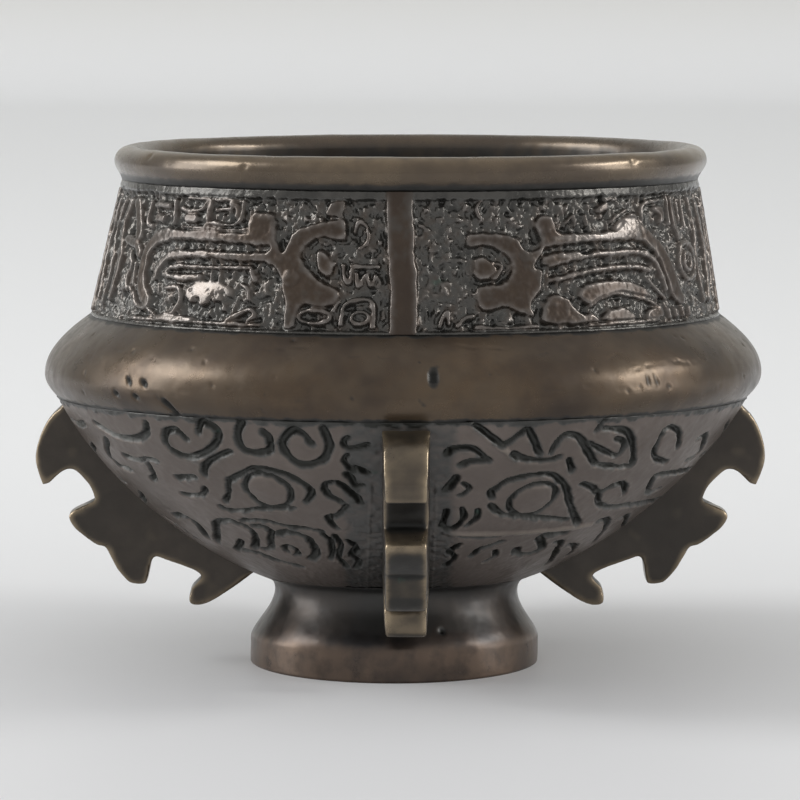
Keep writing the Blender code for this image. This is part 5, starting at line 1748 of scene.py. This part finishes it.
@dataclass
class Flange:
    """A hooked blade that stands out from the bowl, cast with it."""

    bowl: Bowl
    root_thickness: float = 7.1
    tip_thickness: float = 6.0
    proud: float = 10.9
    root_depth: float = 1.8
    front_shift: float = 0.35
    cell: float = 0.32
    finish: BronzeFinish = BronzeFinish(
        "flange_bronze", skin=(0.042, 0.037, 0.032), skin_light=(0.062, 0.052, 0.043),
        worn=(0.38, 0.30, 0.20), wear_share=0.75, roughness=0.36)

    RUNS = (
        # Back of the upper hook, then its throat.
        ((1.5, -0.6), (1.8, 0.4), (2.7, 3.4), (5.8, 7.6), (9.5, 9.3)),
        ((9.9, 8.5), (9.8, 5.6), (10.7, 4.1), (13.8, 3.9), (16.1, 4.8)),
        # Spur, with a blunt back that runs down to the second hook.
        ((14.9, 8.4), (15.1, 9.6), (17.1, 10.1), (20.3, 9.7), (21.6, 8.9)),
        ((24.9, 10.4), (27.4, 10.9), (29.3, 9.6)),
        ((28.8, 8.1), (27.9, 5.6), (29.3, 4.9), (33.5, 3.9), (35.5, 3.9)),
        # Claw that curls out over the foot.
        ((34.8, 6.4), (35.5, 8.5), (36.7, 8.3), (38.3, 6.5), (42.3, -0.5)),
    )

    FRONT_RUNS = (
        ((1.5, -0.6), (1.8, 0.6), (2.5, 3.6), (4.6, 7.4), (7.3, 9.0)),
        ((7.7, 8.2), (8.0, 5.4), (9.4, 4.1), (13.0, 3.9), (15.8, 4.8)),
        ((14.9, 8.4), (15.1, 9.6), (17.1, 10.1), (20.3, 9.7), (21.6, 8.9)),
        ((24.9, 10.4), (27.4, 10.9), (29.3, 9.6)),
        ((28.8, 8.1), (27.9, 5.6), (29.3, 4.9), (33.5, 3.9), (35.5, 3.9)),
        ((35.2, 6.8), (36.6, 9.4), (38.0, 9.6), (39.2, 7.6), (42.3, -0.5)),
    )

    def loop(self, runs: tuple[tuple[Place, ...], ...]) -> np.ndarray:
        """Closed outline of the blade as radius and height.

        Args:
            runs: Smooth runs of (distance down the bowl, height proud of it).

        Returns:
            The outline's points, with a column of their height proud of the bowl.
        """
        outline = self.bowl.outline()
        edge = np.vstack([smooth_line(run, steps=5) for run in runs])
        root = np.array([(down, -self.root_depth)
                         for down in np.linspace(edge[-1, 0], edge[0, 0], 8)])
        both = np.vstack([edge, root])
        place = outline.at(both[:, 0]) + both[:, 1:] * outline.normal(both[:, 0])
        return np.hstack([place, both[:, 1:]])

    def blank(self, flank: Flank) -> bpy.types.Mesh:
        """The blade's two side faces and the edge between them, rebuilt as an even skin.

        Args:
            flank: Where it stands.

        Returns:
            The mesh, in millimetres.
        """
        loop = self.loop(self.FRONT_RUNS if flank is Flank.FRONT else self.RUNS)
        flat = [Vector((x, y)) for x, y in loop[:, :2]]
        count = len(flat)
        _, _, triangles, sources, _, _ = delaunay_2d_cdt(flat, [], [list(range(count))], 1, 1e-4)
        angle = math.radians(flank.value)
        outward = np.array([math.sin(angle), -math.cos(angle), 0.0])
        across = np.array([math.cos(angle), math.sin(angle), 0.0])
        share = np.clip(loop[:, 2] / self.proud, 0.0, 1.0)
        half = (self.root_thickness + (self.tip_thickness - self.root_thickness) * share) / 2
        middle = loop[:, :1] * outward + loop[:, 1:2] * np.array([0.0, 0.0, 1.0])
        corners = np.vstack([middle - half[:, None] * across, middle + half[:, None] * across])
        faces = []
        for triangle in triangles:
            a, b, c = (sources[k][0] for k in triangle)
            faces += [(a, b, c), (c + count, b + count, a + count)]
        for k in range(count):
            after = (k + 1) % count
            faces.append((k, after, after + count, k + count))
        mesh = bpy.data.meshes.new("flange_blank")
        mesh.from_pydata(corners.tolist(), [], faces)
        blank = bpy.data.objects.new("flange_blank", mesh)
        bpy.context.scene.collection.objects.link(blank)
        skin = blank.modifiers.new("even_skin", "REMESH")
        skin.mode = "VOXEL"
        skin.voxel_size = self.cell
        return plain_mesh(blank)

    def upright(self, flank: Flank, stance: Stance, height: np.ndarray) -> np.ndarray:
        """How far the front flange is set sideways, because it was cast true to the belt."""
        if flank is not Flank.FRONT:
            return np.zeros_like(height)
        return self.front_shift + stance.lean_right * (stance.pivot_height - height)

    def notch_shade(self, points: np.ndarray) -> np.ndarray:
        """How much painted shade lies between and below the hooks, 1 where it is darkest.

        Args:
            points: Places on the flange, in millimetres.

        Returns:
            A share for each place.
        """
        outline = self.bowl.outline()
        line = outline.at(np.linspace(0.0, outline.length, 80))
        radius = np.hypot(points[:, 0], points[:, 1])
        proud = np.hypot(radius[:, None] - line[:, 0],
                         points[:, 2, None] - line[:, 1]).min(axis=1)
        down, height = self.FRONT_RUNS[0][-1]
        place = np.array([down])
        tip = (outline.at(place) + height * outline.normal(place))[0, 1]
        return eased((7.4 - proud) / 2.2) * eased((tip - points[:, 2]) / 0.6)

    def build(self, foundry: Foundry, flank: Flank) -> None:
        """Make one flange.

        Args:
            foundry: What the casting is made with.
            flank: Where it stands.
        """
        mesh = self.blank(flank)
        close_ends(mesh)
        points = points_of(mesh)
        edges = np.empty(len(mesh.edges) * 2, np.int32)
        mesh.edges.foreach_get("vertices", edges)
        edges = edges.reshape(-1, 2)
        points = relaxed(points, edges, 4)
        mesh.materials.clear()
        mesh.materials.append(foundry.material(self.finish))
        proud = bulge(points, edges, 6)
        normals = outward_normals(mesh, points)
        convex = np.einsum("ij,ij->i", proud, normals)
        notch = self.notch_shade(points)
        rough = foundry.fine_grain.rough(points, 1.2, 3)
        dents = foundry.grain.rough(points + 70.0, 3.2, 2)
        points = points + normals * (0.03 * rough + 0.10 * dents)[:, None]
        points[:, 0] += self.upright(flank, foundry.stance, points[:, 2])
        angle = math.radians(flank.value)
        across = np.array([math.cos(angle), math.sin(angle), 0.0])
        on_edge = eased(1.4 - 1.6 * np.abs(normals @ across))
        wear = np.clip(convex / 0.10 - 0.15 + 0.35 * dents + 0.42 * on_edge, 0.0, 1.0)
        # Painted shade on the faces that look down and between and below the hooks, not on the flat
        # sides; it darkens through hollow and dims the wear.
        under = np.maximum(eased((-0.30 - normals[:, 2]) / 0.35), notch)
        under *= 1.0 - np.abs(normals @ across)
        hollow = np.clip(-convex / 0.09 - 0.1 + 0.15 * rough + 0.7 * under, 0.0, 1.0)
        wear *= 1.0 - 0.8 * under
        set_values(mesh, "wear", wear)
        set_values(mesh, "hollow", hollow)
        foundry.deliver(f"flange_{flank.name.lower()}", mesh, points)


def relaxed(points: np.ndarray, edges: np.ndarray, rounds: int,
            strength: float = 0.5) -> np.ndarray:
    """Points of a mesh drawn towards the middle of their neighbours.

    Args:
        points: The points.
        edges: Pairs of neighbours.
        rounds: How many times.
        strength: Share of the way each time.

    Returns:
        The softened points.
    """
    count = np.bincount(edges.ravel(), minlength=len(points))[:, None]
    points = points.copy()
    for _ in range(rounds):
        total = np.stack([np.bincount(edges[:, 0], points[edges[:, 1], k], len(points))
                          + np.bincount(edges[:, 1], points[edges[:, 0], k], len(points))
                          for k in range(3)], 1)
        points += strength * (total / np.maximum(count, 1) - points)
    return points


def bulge(points: np.ndarray, edges: np.ndarray, rounds: int) -> np.ndarray:
    """How far each point stands out from its softened surroundings, as vectors."""
    return points - relaxed(points, edges, rounds)


def outward_normals(mesh: bpy.types.Mesh, points: np.ndarray) -> np.ndarray:
    """Normals of a mesh whose points are moved.

    Args:
        mesh: The mesh.
        points: Its new points.

    Returns:
        One normal for each point.
    """
    move_points(mesh, points)
    flat = np.empty(len(mesh.vertices) * 3, np.float32)
    mesh.vertices.foreach_get("normal", flat)
    return flat.reshape(-1, 3).astype(float)


@dataclass
class Studio:
    """Plain pale table and wall, soft lights, and how colours are drawn."""

    table_colour: Colour = (0.79, 0.805, 0.825)
    front_shade_colour: Colour = (0.70, 0.71, 0.73)
    wall_colour: Colour = (0.60, 0.60, 0.575)
    front_shading: tuple[float, float] = (0.30, -0.12)
    wall_starts: tuple[float, float] = (0.0, 0.05)
    half_width: float = 2.4
    front: float = 1.6
    back: float = 1.07
    cove_radius: float = 0.10
    wall_height: float = 1.6

    def table(self) -> None:
        """Make the table, running up into the wall behind."""
        cove = [(self.back - self.cove_radius + self.cove_radius * math.sin(a),
                 self.cove_radius - self.cove_radius * math.cos(a))
                for a in np.linspace(0.0, math.pi / 2, 17)]
        run = [(-self.front, 0.0), *cove, (self.back, self.wall_height)]
        corners = [(side * self.half_width, y, z) for y, z in run for side in (-1.0, 1.0)]
        faces = [(2 * k, 2 * k + 1, 2 * k + 3, 2 * k + 2) for k in range(len(run) - 1)]
        mesh = bpy.data.meshes.new("table")
        mesh.from_pydata(corners, [], faces)
        mesh.shade_smooth()
        mesh.materials.append(self.paint())
        table = bpy.data.objects.new("table", mesh)
        bpy.context.scene.collection.objects.link(table)

    def paint(self) -> bpy.types.Material:
        """Smooth pale paint, a little greyer on the wall, with painted shade darkening the table
        towards its front edge.
        """
        material = bpy.data.materials.new("pale_paint")
        material.use_nodes = True
        nodes, links = material.node_tree.nodes, material.node_tree.links
        shader = nodes["Principled BSDF"]
        place = nodes.new("ShaderNodeTexCoord").outputs["Object"]
        split = nodes.new("ShaderNodeSeparateXYZ")
        links.new(place, split.inputs["Vector"])
        colour = None
        # The first mix is painted shade towards the table's front; the second is the wall's greyer
        # paint.
        for axis, low, high, tint in (("Y", *self.front_shading, self.front_shade_colour),
                                      ("Z", *self.wall_starts, self.wall_colour)):
            share = nodes.new("ShaderNodeMapRange")
            share.interpolation_type = "SMOOTHSTEP"
            share.inputs["From Min"].default_value = low
            share.inputs["From Max"].default_value = high
            links.new(split.outputs[axis], share.inputs["Value"])
            mix = nodes.new("ShaderNodeMix")
            mix.data_type = "RGBA"
            links.new(share.outputs["Result"], mix.inputs[0])
            mix.inputs[6].default_value = (*self.table_colour, 1.0)
            mix.inputs[7].default_value = (*tint, 1.0)
            if colour:
                links.new(colour, mix.inputs[6])
            colour = mix.outputs[2]
        links.new(colour, shader.inputs["Base Color"])
        shader.inputs["Roughness"].default_value = 0.5
        shader.inputs["Specular IOR Level"].default_value = 0.3
        return material

    def light(self, name: str, place: Vector, size: tuple[float, float], power: float,
              colour: Colour) -> None:
        """Hang one soft light that faces the censer.

        Args:
            name: Name of the light.
            place: Where it hangs, in metres.
            size: Its width and height, in metres.
            power: Its power in watts.
            colour: Its colour.
        """
        data = bpy.data.lights.new(name, "AREA")
        data.shape = "RECTANGLE"
        data.size, data.size_y = size
        data.energy = power
        data.color = colour
        lamp = bpy.data.objects.new(name, data)
        aim = (Vector((0.0, 0.0, 0.04)) - place).to_track_quat("-Z", "Y")
        lamp.matrix_world = Matrix.Translation(place) @ aim.to_matrix().to_4x4()
        bpy.context.scene.collection.objects.link(lamp)

    def lights(self) -> None:
        """Set the soft sky and the lights."""
        world = bpy.data.worlds.new("soft_room")
        world.use_nodes = True
        sky = world.node_tree.nodes["Background"]
        sky.inputs["Color"].default_value = (0.98, 0.97, 0.96, 1.0)
        sky.inputs["Strength"].default_value = 0.69
        bpy.context.scene.world = world
        self.light("left_window", Vector((-0.95, 0.08, 0.76)), (0.55, 0.36), 4.6,
                   (1.0, 0.99, 0.97))
        self.light("right_window", Vector((0.98, 0.05, 0.60)), (0.50, 0.15), 2.7,
                   (1.0, 0.98, 0.94))
        self.light("left_panel", Vector((-1.20, 0.10, 0.36)), (0.50, 0.70), 5.0,
                   (1.0, 1.0, 1.0))
        self.light("right_panel", Vector((1.15, -0.12, 0.36)), (0.30, 0.70), 3.3,
                   (1.0, 0.98, 0.96))

    def view(self) -> None:
        """Draw colours as they are, without a film curve."""
        settings = bpy.context.scene.view_settings
        settings.view_transform = "Standard"
        settings.look = "None"


@dataclass(frozen=True)
class Photograph:
    """The camera, as measured from how open the censer's rings look."""

    distance: float = 999.7
    height_aimed: float = 40.0
    elevation: float = 4.6
    focal_pixels: float = 6500.0
    frame_pixels: float = 800.0
    axis_column: float = 403.5
    sensor: float = 36.0

    def take(self, stance: Stance) -> None:
        """Place the camera and make it the scene's.

        Args:
            stance: How the body sits; the camera was measured against the body.
        """
        back = math.radians(stance.lean_back)
        rise = math.radians(self.elevation)
        forward = Vector((0.0, math.cos(rise), -math.sin(rise)))
        scale = self.distance / self.focal_pixels
        sideways = (self.frame_pixels / 2 - self.axis_column) * scale
        place = Vector((sideways, 0.0, self.height_aimed)) - forward * self.distance
        settle = Matrix.Rotation(-back, 3, "X")
        place = settle @ place + stance.shift()
        forward = settle @ forward
        data = bpy.data.cameras.new("photograph")
        data.sensor_width = self.sensor
        data.lens = self.focal_pixels * self.sensor / self.frame_pixels
        data.clip_end = 20.0
        camera = bpy.data.objects.new("photograph", data)
        camera.matrix_world = (Matrix.Translation(place * MM)
                               @ forward.to_track_quat("-Z", "Y").to_matrix().to_4x4())
        bpy.context.scene.collection.objects.link(camera)
        bpy.context.scene.camera = camera


def main() -> None:
    """Build the studio and every piece of the censer."""
    logging.basicConfig(level=logging.INFO, format="%(name)s: %(message)s")
    stance = Stance()
    studio = Studio()
    studio.table()
    studio.lights()
    studio.view()
    Photograph().take(stance)
    foundry = Foundry(Lathe(), Grain(3), Grain(8), stance)
    bowl = Bowl()
    neck = Neck()
    bowl.build(foundry)
    neck.build(foundry)
    Belt(bowl, neck).build(foundry)
    Lip(neck, bowl).build(foundry)
    Foot(bowl).build(foundry)
    for flank in Flank:
        Flange(bowl).build(foundry, flank)


if __name__ == "__main__":
    main()
